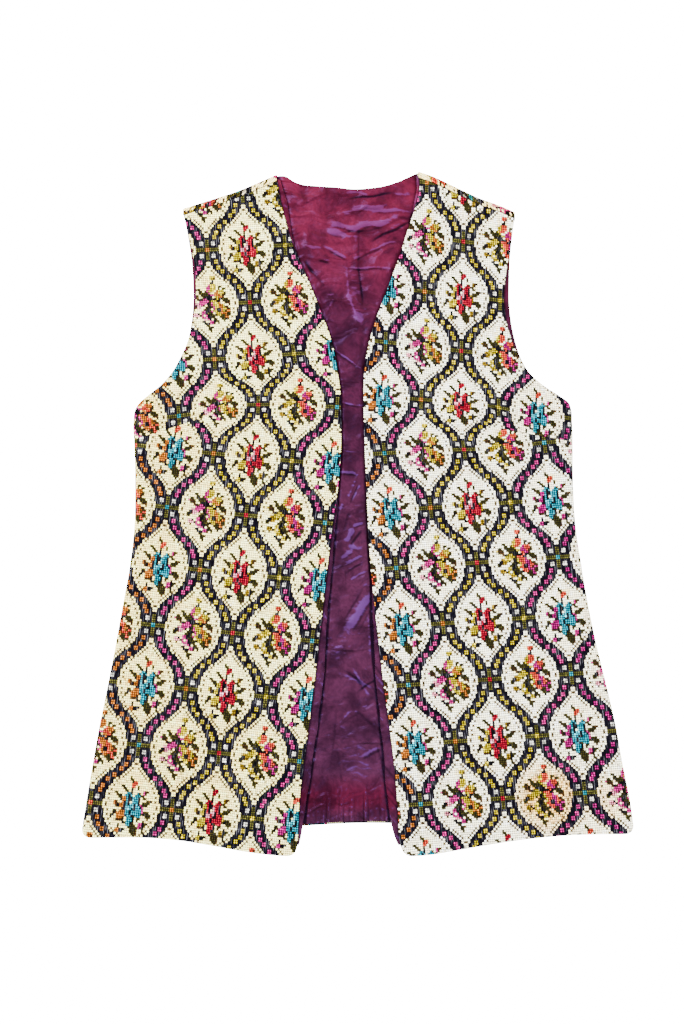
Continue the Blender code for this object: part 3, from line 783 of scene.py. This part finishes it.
def front_outline(half):
    """Give the front's outline on the flat cloth: hem, side, shoulder seam and front edge, closed."""
    width = half.width(HEM_LEVEL)
    along = np.linspace(0.0, width, 160)
    hem_y = half.hem_at(along, width)
    hem_x = half.unrolled(half.edge(hem_y) + half.sign * along, hem_y)
    tip_y = half.fold(1.0) - FLAP - 2 * GAP
    side_y = np.linspace(hem_y[-1], tip_y, 400)
    side_x = half.unrolled(half.side(side_y), side_y)
    neck_y = half.fold(0.0) - FLAP - 2 * GAP
    top_x = np.linspace(half.side(tip_y), half.edge(neck_y), 80)
    top_y = half.fold_at(top_x) - FLAP - 2 * GAP
    edge_y = np.linspace(top_y[-1], hem_y[0], 400)
    edge_x = half.edge(edge_y)
    x = np.concatenate((hem_x, side_x, top_x, edge_x))
    y = np.concatenate((hem_y, side_y, top_y, edge_y))
    return np.stack((x, y), axis=1)


def in_front(half, points):
    """Tell which points of the flat cloth the front covers."""
    x = points[..., 0]
    y = points[..., 1]
    lying = half.rolled(x, y)
    along = half.sign * (lying - half.edge(y))
    kept = (along > 0) & (half.sign * (half.unrolled(half.side(y), y) - x) > 0)
    kept &= y < half.fold_at(lying) - FLAP - 2 * GAP
    return kept & (y > half.hem_at(along, half.width(HEM_LEVEL)))


def make_front(half):
    """Tapestry front: one face a stitch, with the repeat meeting at an angle along the bust dart."""
    outline = front_outline(half)
    upper, lower = GRAIN[half.name]
    low, high = np.array([stitch_range(grain, outline) for grain in (upper, lower)]).transpose(1, 0, 2)
    low = np.floor(low.min(0)).astype(int) - 4
    high = np.ceil(high.max(0)).astype(int) + 4
    p, q = np.meshgrid(np.arange(low[0], high[0] + 1), np.arange(low[1], high[1] + 1))
    rows, columns = p.shape
    start, run, length, across, _, _ = dart_line(half.name)
    above = place(upper, p, q)
    below = place(lower, p, q)
    middle = (above + below) / 2
    share = ((middle - start) @ run) / length
    height = (middle - start) @ across
    joined = mix(below, above, smooth(height / 120.0 + 0.5)[..., None])
    ease = smooth((share - 0.25) / 0.75)[..., None]
    above = mix(above, joined, ease)
    below = mix(below, joined, ease)
    whole = share >= 1.0

    turns = ((0, 0), (1, 0), (1, 1), (0, 1))
    window = [(slice(b, rows - 1 + b), slice(a, columns - 1 + a)) for a, b in turns]
    number = np.arange(rows * columns).reshape(rows, columns)
    middle_above = sum(above[part] for part in window) / 4
    middle_below = sum(below[part] for part in window) / 4
    keep_above = in_front(half, middle_above) & ((middle_above - start) @ across > 0)
    keep_below = in_front(half, middle_below) & ((middle_below - start) @ across <= 0)
    shared = number + rows * columns * ~whole
    faces = np.concatenate((
        np.stack([number[part][keep_above] for part in window], axis=1),
        np.stack([shared[part][keep_below] for part in window], axis=1)))
    flat = np.concatenate((above.reshape(-1, 2), below.reshape(-1, 2)))

    edge_start, edge_end, _, _ = boundary(faces, len(flat))
    ring = np.unique(np.concatenate((edge_start, edge_end)))
    dart = np.array((start, start + run * length))
    flat[ring] = nearest_on(flat[ring], (outline, dart))

    used, again = np.unique(faces, return_inverse=True)
    faces = again.reshape(faces.shape)
    flat = flat[used]
    y = flat[:, 1]
    x = half.rolled(flat[:, 0], y)
    z = front_top(half, x, y)
    tilt = lean(half, y, half.sign * (half.side(y) - x))
    points = np.stack((x, y, z), axis=1)
    inward = np.stack((-half.sign * tilt, np.zeros(len(x)), -np.sqrt(1.0 - tilt ** 2)), axis=1)
    steps = inward * (TAPESTRY - 0.1)

    p_middle = p[:-1, :-1] + 0.5
    q_middle = q[:-1, :-1] + 0.5
    middle = np.where(keep_above[..., None], middle_above, middle_below)
    colours = yarn_colours(pattern(p_middle, q_middle), half.name, middle, 5 if half.name == "right" else 6)
    colours = np.concatenate((colours[keep_above], colours[keep_below]))
    cell = np.stack((p[:-1, :-1], q[:-1, :-1]), axis=-1)
    cell = np.concatenate((cell[keep_above], cell[keep_below])).astype(float)
    stitches = np.stack([cell + np.array(step) for step in turns], axis=1)
    return make_mesh("tapestry_front_" + half.name, points, steps, faces, colours, stitches)


def back_side(half, y):
    """Give the back's outermost x on one side."""
    return half.side(y) + half.sign * half.back_show(y)


def back_top(x):
    """Give the flat cloth's top y of the back: the neckline, or the seam after the shoulder's turn."""
    turn = math.pi * FOLD_DEPTH + FLAP - FOLD_DEPTH
    flap_right = RIGHT.fold_at(x) - FOLD_DEPTH + turn
    flap_left = LEFT.fold_at(x) - FOLD_DEPTH + turn
    return np.where(x <= NECK[0][0], flap_right, np.where(x >= NECK[-1][0], flap_left, neck_line(x)))


def back_outline():
    """Give the back's outline on the flat cloth."""
    hem_x = np.linspace(back_side(RIGHT, -330.0), back_side(LEFT, -328.0), 300)
    short = [np.clip(CORNER - distance, 0.0, CORNER) for distance in (hem_x - hem_x[0], hem_x[-1] - hem_x)]
    hem_y = back_hem(hem_x) + sum(CORNER - np.sqrt(CORNER ** 2 - value ** 2) for value in short)
    lines = [np.stack((hem_x, hem_y), axis=1)]
    for half in (LEFT, RIGHT):
        top = half.fold(1.0) - FOLD_DEPTH + math.pi * FOLD_DEPTH + FLAP - FOLD_DEPTH
        y = np.linspace(hem_y[0], top, 400)
        edge = half.unrolled(back_side(half, y), y, half.back_show(y))
        lines.append(np.stack((edge, y), axis=1)[::int(half.sign)])
    top_x = np.concatenate((
        np.linspace(back_side(LEFT, 306.0), NECK[-1][0], 60),
        np.linspace(NECK[-1][0] - 0.01, NECK[0][0] + 0.01, 140),
        np.linspace(NECK[0][0], back_side(RIGHT, 309.0), 60)))
    lines.insert(2, np.stack((top_x, back_top(top_x)), axis=1))
    return np.concatenate(lines)


def half_of(x, from_right, from_left):
    """Pick per point what belongs to the half that it lies on."""
    return np.where(x < 0, from_right, from_left)


def make_back():
    """Tapestry back: flat on the surface, round at the side seams and turned forward over the shoulders."""
    outline = back_outline()
    low, high = stitch_range(BACK_GRAIN, outline)
    low = np.floor(low).astype(int) - 2
    high = np.ceil(high).astype(int) + 2
    p, q = np.meshgrid(np.arange(low[0], high[0] + 1), np.arange(low[1], high[1] + 1))
    rows, columns = p.shape
    flat = place(BACK_GRAIN, p, q)
    turns = ((0, 0), (0, 1), (1, 1), (1, 0))
    window = [(slice(b, rows - 1 + b), slice(a, columns - 1 + a)) for a, b in turns]
    number = np.arange(rows * columns).reshape(rows, columns)
    middle = sum(flat[part] for part in window) / 4
    x = middle[..., 0]
    y = middle[..., 1]
    keep = y < back_top(x)
    hem = np.interp(x, outline[:300, 0], outline[:300, 1])
    keep &= y > hem
    for half in (RIGHT, LEFT):
        edge = half.unrolled(back_side(half, y), y, half.back_show(y))
        keep &= half.sign * (edge - x) > 0
    faces = np.stack([number[part][keep] for part in window], axis=1)
    flat = flat.reshape(-1, 2)
    edge_start, edge_end, _, _ = boundary(faces, len(flat))
    ring = np.unique(np.concatenate((edge_start, edge_end)))
    flat[ring] = nearest_on(flat[ring], (outline,))
    used, again = np.unique(faces, return_inverse=True)
    faces = again.reshape(faces.shape)
    flat = flat[used]

    fold = half_of(flat[:, 0], RIGHT.fold_at(flat[:, 0]), LEFT.fold_at(flat[:, 0]))
    over = np.clip(flat[:, 1] - fold + FOLD_DEPTH, 0.0, None)
    over = over * ((flat[:, 0] <= NECK[0][0] + 1.0) | (flat[:, 0] >= NECK[-1][0] - 1.0))
    turn = np.clip(over / FOLD_DEPTH, 0.0, math.pi)
    past = np.clip(over - math.pi * FOLD_DEPTH, 0.0, None)
    base = flat[:, 1] - over
    y = base + FOLD_DEPTH * np.sin(turn) - past
    rolled = [half.rolled(flat[:, 0], base, half.back_show(base)) for half in (RIGHT, LEFT)]
    x = half_of(flat[:, 0], *rolled)
    under = half_of(x, back_under(RIGHT, x, y), back_under(LEFT, x, y))
    z = np.where(over > 0, CROWN / 2 * (1.0 - np.cos(turn)), under)
    sign = half_of(x, -1.0, 1.0)
    from_side = half_of(x, *[half.sign * (back_side(half, y) - x) for half in (RIGHT, LEFT)])
    tilt = lean(RIGHT, y, from_side)
    points = np.stack((x, y, z), axis=1)
    flat_step = np.stack((-sign * tilt, np.zeros(len(x)), np.sqrt(1.0 - tilt ** 2)), axis=1)
    turned_step = np.stack((np.zeros(len(x)), -np.sin(turn), np.cos(turn)), axis=1)
    steps = np.where((over > 0)[:, None], turned_step, flat_step) * (TAPESTRY - 0.1)

    x_middle = middle[..., 0]
    colours = yarn_colours(pattern(p[:-1, :-1] + 0.5, q[:-1, :-1] + 0.5), "back", middle, 7)
    # painted shade: the flap turned over the shoulder fold is made darker and warmer
    flap = middle[..., 1] > half_of(x_middle, RIGHT.fold_at(x_middle), LEFT.fold_at(x_middle))
    colours[flap] = colours[flap] * np.array((1.0, 0.84, 0.60))
    cell = np.stack((p[:-1, :-1], q[:-1, :-1]), axis=-1)[keep].astype(float)
    stitches = np.stack([cell + np.array(step) for step in turns], axis=1)
    return make_mesh("tapestry_back", points, steps, faces, colours[keep], stitches, lip=4.0)


def grid_cloth(name, points, light, dark, thickness, closed):
    """Make satin from a grid of points, facing up where rows climb and columns run to +X."""
    rows, columns = points.shape[:2]
    number = np.arange(rows * columns).reshape(rows, columns)
    corners = (number[:-1, :-1], number[:-1, 1:], number[1:, 1:], number[1:, :-1])
    faces = np.stack(corners, axis=-1).reshape(-1, 4)
    flat = points.reshape(-1, 3)
    steps = np.zeros_like(flat)
    steps[:, 2] = -thickness
    levels = np.array(SATIN_LEVELS)
    base = np.stack([np.interp(flat[:, 1], levels[:, 0], levels[:, part]) for part in (1, 2, 3)], axis=-1)
    # weights of painted highlight and painted shade, one pair at each corner
    sheen = np.stack((light.ravel(), dark.ravel()), axis=-1)
    lip = 0.0 if closed else 2.0
    return make_mesh(name, flat, steps, faces, base[faces], sheen[faces], lip=lip, layer="Sheen")


def in_opening(x, y, start, reach):
    """Weigh 0 under the fronts' lining strips and up to start past them, and 1 after reach more."""
    weight = 1.0
    for half in (RIGHT, LEFT):
        inside = half.sign * (half.edge(y) - x) - np.maximum(half.lining_show(y), 0.0)
        weight = weight * smooth((inside - start) / reach)
    return weight


def lining_limits(y):
    """Give the back lining's two side positions at a level, in from the side seams and armholes."""
    closed = np.minimum(3.0 * RIGHT.closed(y), 1.0)
    inset = closed * (RIGHT.roll(y) + 1.5) + (1.0 - closed) * 0.4
    return back_side(RIGHT, y) + inset, back_side(LEFT, y) - inset


def lining_x(y, shares):
    """Give x of each column of the back lining's grid at its own level."""
    low, high = lining_limits(y)
    known = np.stack((low, RIGHT.edge(y) - 2.0, LEFT.edge(y) + 2.0, high))
    whole = np.minimum(shares.astype(int), 2)
    number = np.arange(len(shares))
    return mix(known[whole, number], known[whole + 1, number], shares - whole)


def make_back_lining():
    """Satin lining of the back: pulled into creases between the fronts and gathered at its hem."""
    rows = 860
    opening = 88
    covered = 8
    shares = np.concatenate((np.linspace(0, 1, covered + 1)[:-1], 1 + np.linspace(0, 1, opening + 1)[:-1],
                             2 + np.linspace(0, 1, covered + 1)))
    hem_x = lining_x(np.full(len(shares), -318.0), shares)
    top_x = lining_x(np.full(len(shares), 346.0), shares)
    ends = hem_x - hem_x[0], hem_x[-1] - hem_x
    short = [np.clip(CORNER - distance, 0.0, CORNER) for distance in ends]
    bottom = back_hem(hem_x) + 2.0 + sum(CORNER - np.sqrt(CORNER ** 2 - value ** 2) for value in short)
    fold = half_of(top_x, RIGHT.fold_at(top_x), LEFT.fold_at(top_x))
    on_neck = (top_x > NECK[0][0]) & (top_x < NECK[-1][0])
    top = np.where(on_neck, neck_line(top_x) - 1.0, fold - 7.0)

    level = np.linspace(0.0, 1.0, rows + 1)[:, None]
    y = bottom + (top - bottom) * level
    x = np.array([lining_x(line, shares) for line in y])
    lift = np.full(x.shape, OPENING_LIFT)
    # weights of the painted highlight and painted shade, carried to the satin in its Sheen layer
    light = np.zeros(x.shape)
    dark = np.zeros(x.shape)
    for *line, width, sheen in LINING_CREASES:
        bow = 0.5 * width * np.sin(x / 5.3 + y / 7.9 + width)
        weight = ridge(x + 0.4 * bow, y + bow, (*line, width, 1.0))
        crest = min(CREST_SLOPE * width * abs(sheen), LARGEST_CREST) * weight
        if sheen > 0:
            lift = lift + crest
            light = light + sheen * weight
            # painted shade along the foot of each lit crest
            turn = math.radians(line[2])
            step = 1.1 * width
            foot = (line[0] + step * math.sin(turn), line[1] - step * math.cos(turn), line[2], 0.8 * line[3])
            dark = dark + 0.5 * sheen * ridge(x + 0.4 * bow, y + bow, (*foot, 0.35 * width + 0.35, 1.0))
        else:
            lift = lift - crest
            dark = dark - sheen * weight
    turn = (shares - 1.0) * GATHERS * 2 * math.pi + 0.9 * np.sin(shares * 9.0) + 0.7 * np.sin(shares * 23.0)
    gather = np.sin(turn) * 0.5 + 0.5
    low = fade(y - bottom - 9.0 * np.sin(turn * 0.37), 1.0, GATHER_REACH)
    low = low * (0.75 + 0.25 * np.sin(shares * 31.0))
    lift = lift + GATHER_HEIGHT * gather ** 1.5 * low
    # painted highlights on the gathers' crests and painted shade between them
    light = light + 0.60 * gather ** 3 * low
    dark = dark + 0.75 * (1.0 - gather) ** 4 * low
    # painted shadow on the lining along the front strips' edges, stronger below the waist
    between = np.where((shares > 0.5) & (shares < 2.5), 1.0, 0.25)
    dark = dark + 1.3 * (1.0 - in_opening(x, y, 0.0, 3.6)) * fade(y, -60.0, 60.0) * between
    dark = dark + 0.6 * (1.0 - in_opening(x, y, 0.0, 3.0)) * (1.0 - fade(y, -60.0, 60.0)) * between
    z = LINING_TOP + np.maximum(lift, 0.0) * in_opening(x, y, 0.4, 3.2)
    points = np.stack((x, y, z), axis=-1)
    return grid_cloth("satin_back", points, light, dark, SATIN - 0.1, closed=False)


def make_front_lining(half):
    """Satin strip behind the front edge, rolled out past it at the neck and the skirt."""
    rows = 640
    places = np.linspace(0.0, 1.0, 15)
    points = np.zeros((rows + 1, len(places), 3))
    light = np.zeros((rows + 1, len(places)))
    dark = np.zeros((rows + 1, len(places)))
    hem_width = half.width(HEM_LEVEL)
    neck = half.fold(0.0)
    for column, part in enumerate(places):
        def along_at(y):
            outer = -half.lining_show(y)
            wave = 0.35 * np.sin(y / 11.0 + 2.0 * np.sin(y / 37.0)) + 0.2 * np.sin(y / 4.3)
            outer = outer + wave * (half.lining_show(y) > 1.0)
            return outer + (STRIP_WIDTH - outer) * part ** 2.2
        low = half.hem_at(np.maximum(along_at(HEM_LEVEL), 0.0), hem_width) + 1.0
        high = half.fold_at(half.edge(neck) + half.sign * along_at(neck)) - FOLD_DEPTH - 1.0
        y = np.linspace(low, high, rows + 1)
        along = along_at(y)
        x = half.edge(y) + half.sign * along
        under = half.edge(y) + half.sign * np.maximum(along, 6.0)
        z = front_top(half, under, y) - EDGE_TURN - TAPESTRY - STRIP_DROP
        from_fold = along + half.lining_show(y)
        slant = y + 1.4 * from_fold * half.sign
        pucker = np.sin(slant / 2.3 + 2.2 * np.sin(slant / 17.0))
        pucker = pucker * np.sin(slant / 9.1 + 1.3 * np.sin(slant / 5.7))
        z = z - 0.9 * np.sqrt(np.clip(1.0 - from_fold / 1.2, 0.0, 1.0)) + 0.12 * pucker * (along < -0.5)
        # painted highlights and shade on the puckers, and painted shadow under the front's edge
        light[:, column] = 0.55 * np.clip(pucker, 0.0, 1.0) ** 2
        dark[:, column] = 0.5 * np.clip(-pucker, 0.0, 1.0) ** 2 + 0.6 * fade(-along, 0.0, 1.6)
        points[:, column] = np.stack((x, y, z), axis=1)
    if half.sign < 0:
        points = points[:, ::-1]
        light = light[:, ::-1]
        dark = dark[:, ::-1]
    return grid_cloth("satin_front_" + half.name, points, light, dark, SATIN - 0.2, closed=True)


class Nodes:
    """Short calls for building a material's nodes."""

    def __init__(self, name):
        self.material = bpy.data.materials.new(name)
        self.material.use_nodes = True
        self.tree = self.material.node_tree
        self.shader = self.tree.nodes["Principled BSDF"]

    def add(self, kind, values=(), **settings):
        """Add a node, set its properties and give its inputs numbers or links."""
        node = self.tree.nodes.new(kind)
        for key, value in settings.items():
            setattr(node, key, value)
        for key, value in dict(values).items():
            self.give(node, key, value)
        return node

    def give(self, node, key, value):
        if isinstance(value, bpy.types.NodeSocket):
            self.tree.links.new(value, node.inputs[key])
        else:
            node.inputs[key].default_value = value

    def calc(self, operation, *values):
        return self.add("ShaderNodeMath", enumerate(values), operation=operation).outputs[0]

    def ramp(self, value, low, high, start, end):
        """Run smoothly from start to end while value runs from low to high."""
        values = {0: value, 1: low, 2: high, 3: start, 4: end}
        return self.add("ShaderNodeMapRange", values, interpolation_type="SMOOTHSTEP").outputs[0]

    def scaled(self, vector, scale):
        node = self.add("ShaderNodeVectorMath", {0: vector}, operation="SCALE")
        self.give(node, "Scale", scale)
        return node.outputs[0]

    def noise(self, vector, scale, detail, output=0):
        values = {"Vector": vector, "Scale": scale, "Detail": detail}
        return self.add("ShaderNodeTexNoise", values).outputs[output]

    def blend(self, share, first, second, mode="MIX"):
        node = self.add("ShaderNodeMix", data_type="RGBA", blend_type=mode)
        self.give(node, 0, share)
        self.give(node, 6, first)
        self.give(node, 7, second)
        return node.outputs[2]


def tapestry_material():
    """Ribbed tapestry weave: stitches in columns with painted shade in the gaps between them, and pale warp
    between dark stitches.
    """
    m = Nodes("tapestry")
    yarn = m.add("ShaderNodeVertexColor", layer_name="Yarn").outputs["Color"]
    uv = m.add("ShaderNodeUVMap", uv_map="Stitch").outputs[0]
    parts = m.add("ShaderNodeSeparateXYZ", {0: uv})
    column = m.calc("ABSOLUTE", m.calc("SUBTRACT", m.calc("FRACT", parts.outputs[0]), 0.5))
    row = m.calc("ABSOLUTE", m.calc("SUBTRACT", m.calc("FRACT", parts.outputs[1]), 0.5))
    bright = m.add("ShaderNodeRGBToBW", {0: yarn}).outputs[0]
    dark = m.ramp(bright, 0.004, 0.010, 1.0, 0.0)
    cream = m.ramp(bright, 0.42, 0.55, 0.0, 1.0)
    narrow = m.calc("ADD", m.calc("MULTIPLY", cream, 0.01), m.calc("MULTIPLY", dark, 0.12))
    column_gap = m.ramp(m.calc("SUBTRACT", column, narrow), 0.14, 0.34, 0.0, 1.0)
    row_gap = m.ramp(m.calc("SUBTRACT", row, narrow), 0.17, 0.38, 0.0, 1.0)
    long = m.add("ShaderNodeMapping", {"Vector": uv, "Scale": (1.0, 0.16, 1.0)}).outputs[0]
    lines = m.noise(long, 1.1, 3.0)
    warp = m.calc("MULTIPLY", dark, m.ramp(lines, 0.47, 0.66, 0.0, 1.0))
    # column gaps show the real pale warp between dark stitches and painted shade elsewhere
    gap_colour = m.blend(warp, (0.0011, 0.0010, 0.0013, 1.0), (0.070, 0.070, 0.080, 1.0))
    # painted shade between rows: a darker colour of the same yarn
    between_rows = m.calc("MULTIPLY", row_gap, m.ramp(cream, 0.0, 1.0, 0.84, 0.50))
    row_shade_colour = m.blend(cream, (0.0011, 0.0010, 0.0012, 1.0), (0.050, 0.042, 0.026, 1.0))
    darker = m.blend(between_rows, yarn, row_shade_colour)
    between_columns = m.calc("MULTIPLY", column_gap, m.ramp(cream, 0.0, 1.0, 0.88, 0.30))
    woven = m.blend(between_columns, darker, gap_colour)
    # painted shade in the holes where row and column gaps cross
    holes = m.calc("MULTIPLY", m.calc("MULTIPLY", column_gap, row_gap), m.calc("MULTIPLY", cream, 0.96))
    hole_shaded = m.blend(holes, woven, (0.026, 0.022, 0.008, 1.0))
    grain = m.noise(uv, 1.9, 2.0)
    uneven = m.blend(cream, m.ramp(grain, 0.3, 0.7, 0.60, 1.60), m.ramp(grain, 0.3, 0.7, 0.68, 1.24))
    colour = m.blend(1.0, hole_shaded, uneven, "MULTIPLY")
    hump = m.calc("MULTIPLY", m.calc("SUBTRACT", 1.0, column_gap), m.calc("SUBTRACT", 1.0, row_gap))
    bump = m.add("ShaderNodeBump", {"Strength": 0.5, "Distance": 0.0004, "Height": hump})
    m.give(m.shader, "Base Color", colour)
    m.give(m.shader, "Roughness", 0.95)
    m.give(m.shader, "Specular IOR Level", 0.0)
    m.give(m.shader, "Normal", bump.outputs[0])
    return m.material


def satin_material():
    """Wine satin with a fine crumpling: painted lavender highlights on crests, painted shade in troughs and a
    faint gloss.
    """
    m = Nodes("satin")
    painted = m.add("ShaderNodeVertexColor", layer_name="Yarn").outputs["Color"]
    sheen = m.add("ShaderNodeSeparateXYZ", {0: m.add("ShaderNodeUVMap", uv_map="Sheen").outputs[0]})
    place_at = m.add("ShaderNodeTexCoord").outputs["Object"]
    level = m.add("ShaderNodeSeparateXYZ", {0: place_at}).outputs[1]
    warp = m.noise(place_at, 22.0, 2.0, output=1)
    bent = m.add("ShaderNodeVectorMath", {0: place_at, 1: m.scaled(warp, 0.030)}, operation="ADD").outputs[0]
    lain = m.add("ShaderNodeMapping", {"Vector": bent, "Rotation": (0.0, 0.0, 0.4), "Scale": (0.4, 1.0, 1.0)})
    streaks = m.noise(lain.outputs[0], 250.0, 4.0)
    fine = m.noise(bent, 300.0, 3.0)
    broad = m.noise(bent, 40.0, 4.0)
    # painted light and shade of the broad crumples, from the noise that also bumps them
    broad_shaded = m.blend(1.0, painted, m.ramp(broad, 0.34, 0.66, 0.58, 1.50), "MULTIPLY")
    slub = m.blend(1.0, broad_shaded, m.ramp(fine, 0.3, 0.7, 0.84, 1.16), "MULTIPLY")
    # painted lavender highlights: the crests' light weights, frayed into streaks
    frayed = m.calc("ADD", sheen.outputs[0], m.calc("MULTIPLY", m.calc("SUBTRACT", streaks, 0.5), 1.7))
    lit = m.calc("MULTIPLY", m.ramp(frayed, 0.28, 0.66, 0.0, 0.9), m.ramp(broad, 0.36, 0.62, 0.55, 1.0))
    lavender = m.blend(m.ramp(level, 0.12, 0.24, 0.0, 1.0), (*SHEEN_LOW, 1.0), (*SHEEN_HIGH, 1.0))
    glossy = m.blend(lit, slub, lavender)
    # painted shade from the dark weights: troughs, feet of crests, gathers and along the strips
    sunk = m.calc("ADD", sheen.outputs[1], m.calc("MULTIPLY", m.calc("SUBTRACT", broad, 0.5), 0.4))
    colour = m.blend(1.0, glossy, m.ramp(sunk, 0.04, 0.90, 1.0, 0.12), "MULTIPLY")
    crumple = m.calc("MULTIPLY", broad, 1.2)
    for turn, scale in ((0.5, 30.0), (-0.4, 44.0)):
        lie = {"Vector": bent, "Rotation": (0.0, 0.0, turn), "Scale": (0.4, 1.0, 1.0)}
        noise = m.noise(m.add("ShaderNodeMapping", lie).outputs[0], scale, 1.5)
        away = m.calc("ABSOLUTE", m.calc("SUBTRACT", noise, 0.5))
        crumple = m.calc("SUBTRACT", crumple, m.ramp(away, 0.0, 0.11, 0.0, 0.9))
    height = m.calc("ADD", crumple, m.calc("MULTIPLY", streaks, 0.5))
    bump = m.add("ShaderNodeBump", {"Strength": 1.0, "Distance": 0.0012, "Height": height})
    m.give(m.shader, "Base Color", colour)
    m.give(m.shader, "Roughness", 0.36)
    m.give(m.shader, "Specular IOR Level", 0.04)
    m.give(m.shader, "Specular Tint", (0.50, 0.24, 1.0, 1.0))
    m.give(m.shader, "Normal", bump.outputs[0])
    return m.material


def floor_material():
    m = Nodes("floor")
    m.give(m.shader, "Base Color", (0.96, 0.96, 0.97, 1.0))
    m.give(m.shader, "Roughness", 0.9)
    m.give(m.shader, "Specular IOR Level", 0.0)
    m.give(m.shader, "Emission Color", (1.0, 1.0, 1.0, 1.0))
    m.give(m.shader, "Emission Strength", 16.0)
    return m.material


def add_light(name, energy, size, location, colour):
    lamp = bpy.data.lights.new(name, "AREA")
    lamp.energy = energy
    lamp.size = size
    lamp.color = colour
    made = bpy.data.objects.new(name, lamp)
    made.location = location
    direction = -made.location
    made.rotation_euler = direction.to_track_quat("-Z", "Y").to_euler()
    bpy.context.scene.collection.objects.link(made)


def dress(made, node, material):
    """Give a piece its material, hang it under the root body and hide the part that it stands in for."""
    made.data.materials.append(material)
    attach(made, "root")
    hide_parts(node)


tapestry = tapestry_material()
satin = satin_material()

back = make_back()
back_lining = make_back_lining()
strips = [make_front_lining(half) for half in (RIGHT, LEFT)]
fronts = [make_front(half) for half in (RIGHT, LEFT)]

floor_mesh = bpy.data.meshes.new("floor")
reach = 4.0
floor_mesh.from_pydata([(-reach, -reach, 0), (reach, -reach, 0), (reach, reach, 0), (-reach, reach, 0)], [],
                       [(0, 1, 2, 3)])
floor = bpy.data.objects.new("floor", floor_mesh)
floor.location = (0.0, 0.0, -0.0003)
floor_mesh.materials.append(floor_material())
bpy.context.scene.collection.objects.link(floor)

dress(back, "back", tapestry)
dress(back_lining, "lining_back", satin)
for half, strip, front in zip((RIGHT, LEFT), strips, fronts):
    dress(strip, "lining_front_" + half.name, satin)
    dress(front, "front_" + half.name, tapestry)

world = bpy.data.worlds.new("studio")
bpy.context.scene.world = world
world.use_nodes = True
world.node_tree.nodes["Background"].inputs["Color"].default_value = (1.0, 1.0, 1.0, 1.0)
world.node_tree.nodes["Background"].inputs["Strength"].default_value = 3.0
add_light("key", 290.0, 0.8, (-1.0, 1.2, 1.5), (1.0, 0.99, 0.97))
add_light("fill", 78.0, 1.4, (1.1, -0.9, 1.6), (0.96, 0.97, 1.0))

camera_data = bpy.data.cameras.new("camera")
camera_data.sensor_width = 36.0
camera_data.lens = 1250.0 / 1024.0 * 36.0
camera = bpy.data.objects.new("camera", camera_data)
camera.location = (-0.01586, -0.13874, 1.2674)
camera.rotation_euler = (math.radians(5.923), 0.0, 0.0)
bpy.context.scene.collection.objects.link(camera)
bpy.context.scene.camera = camera

bpy.context.view_layer.update()
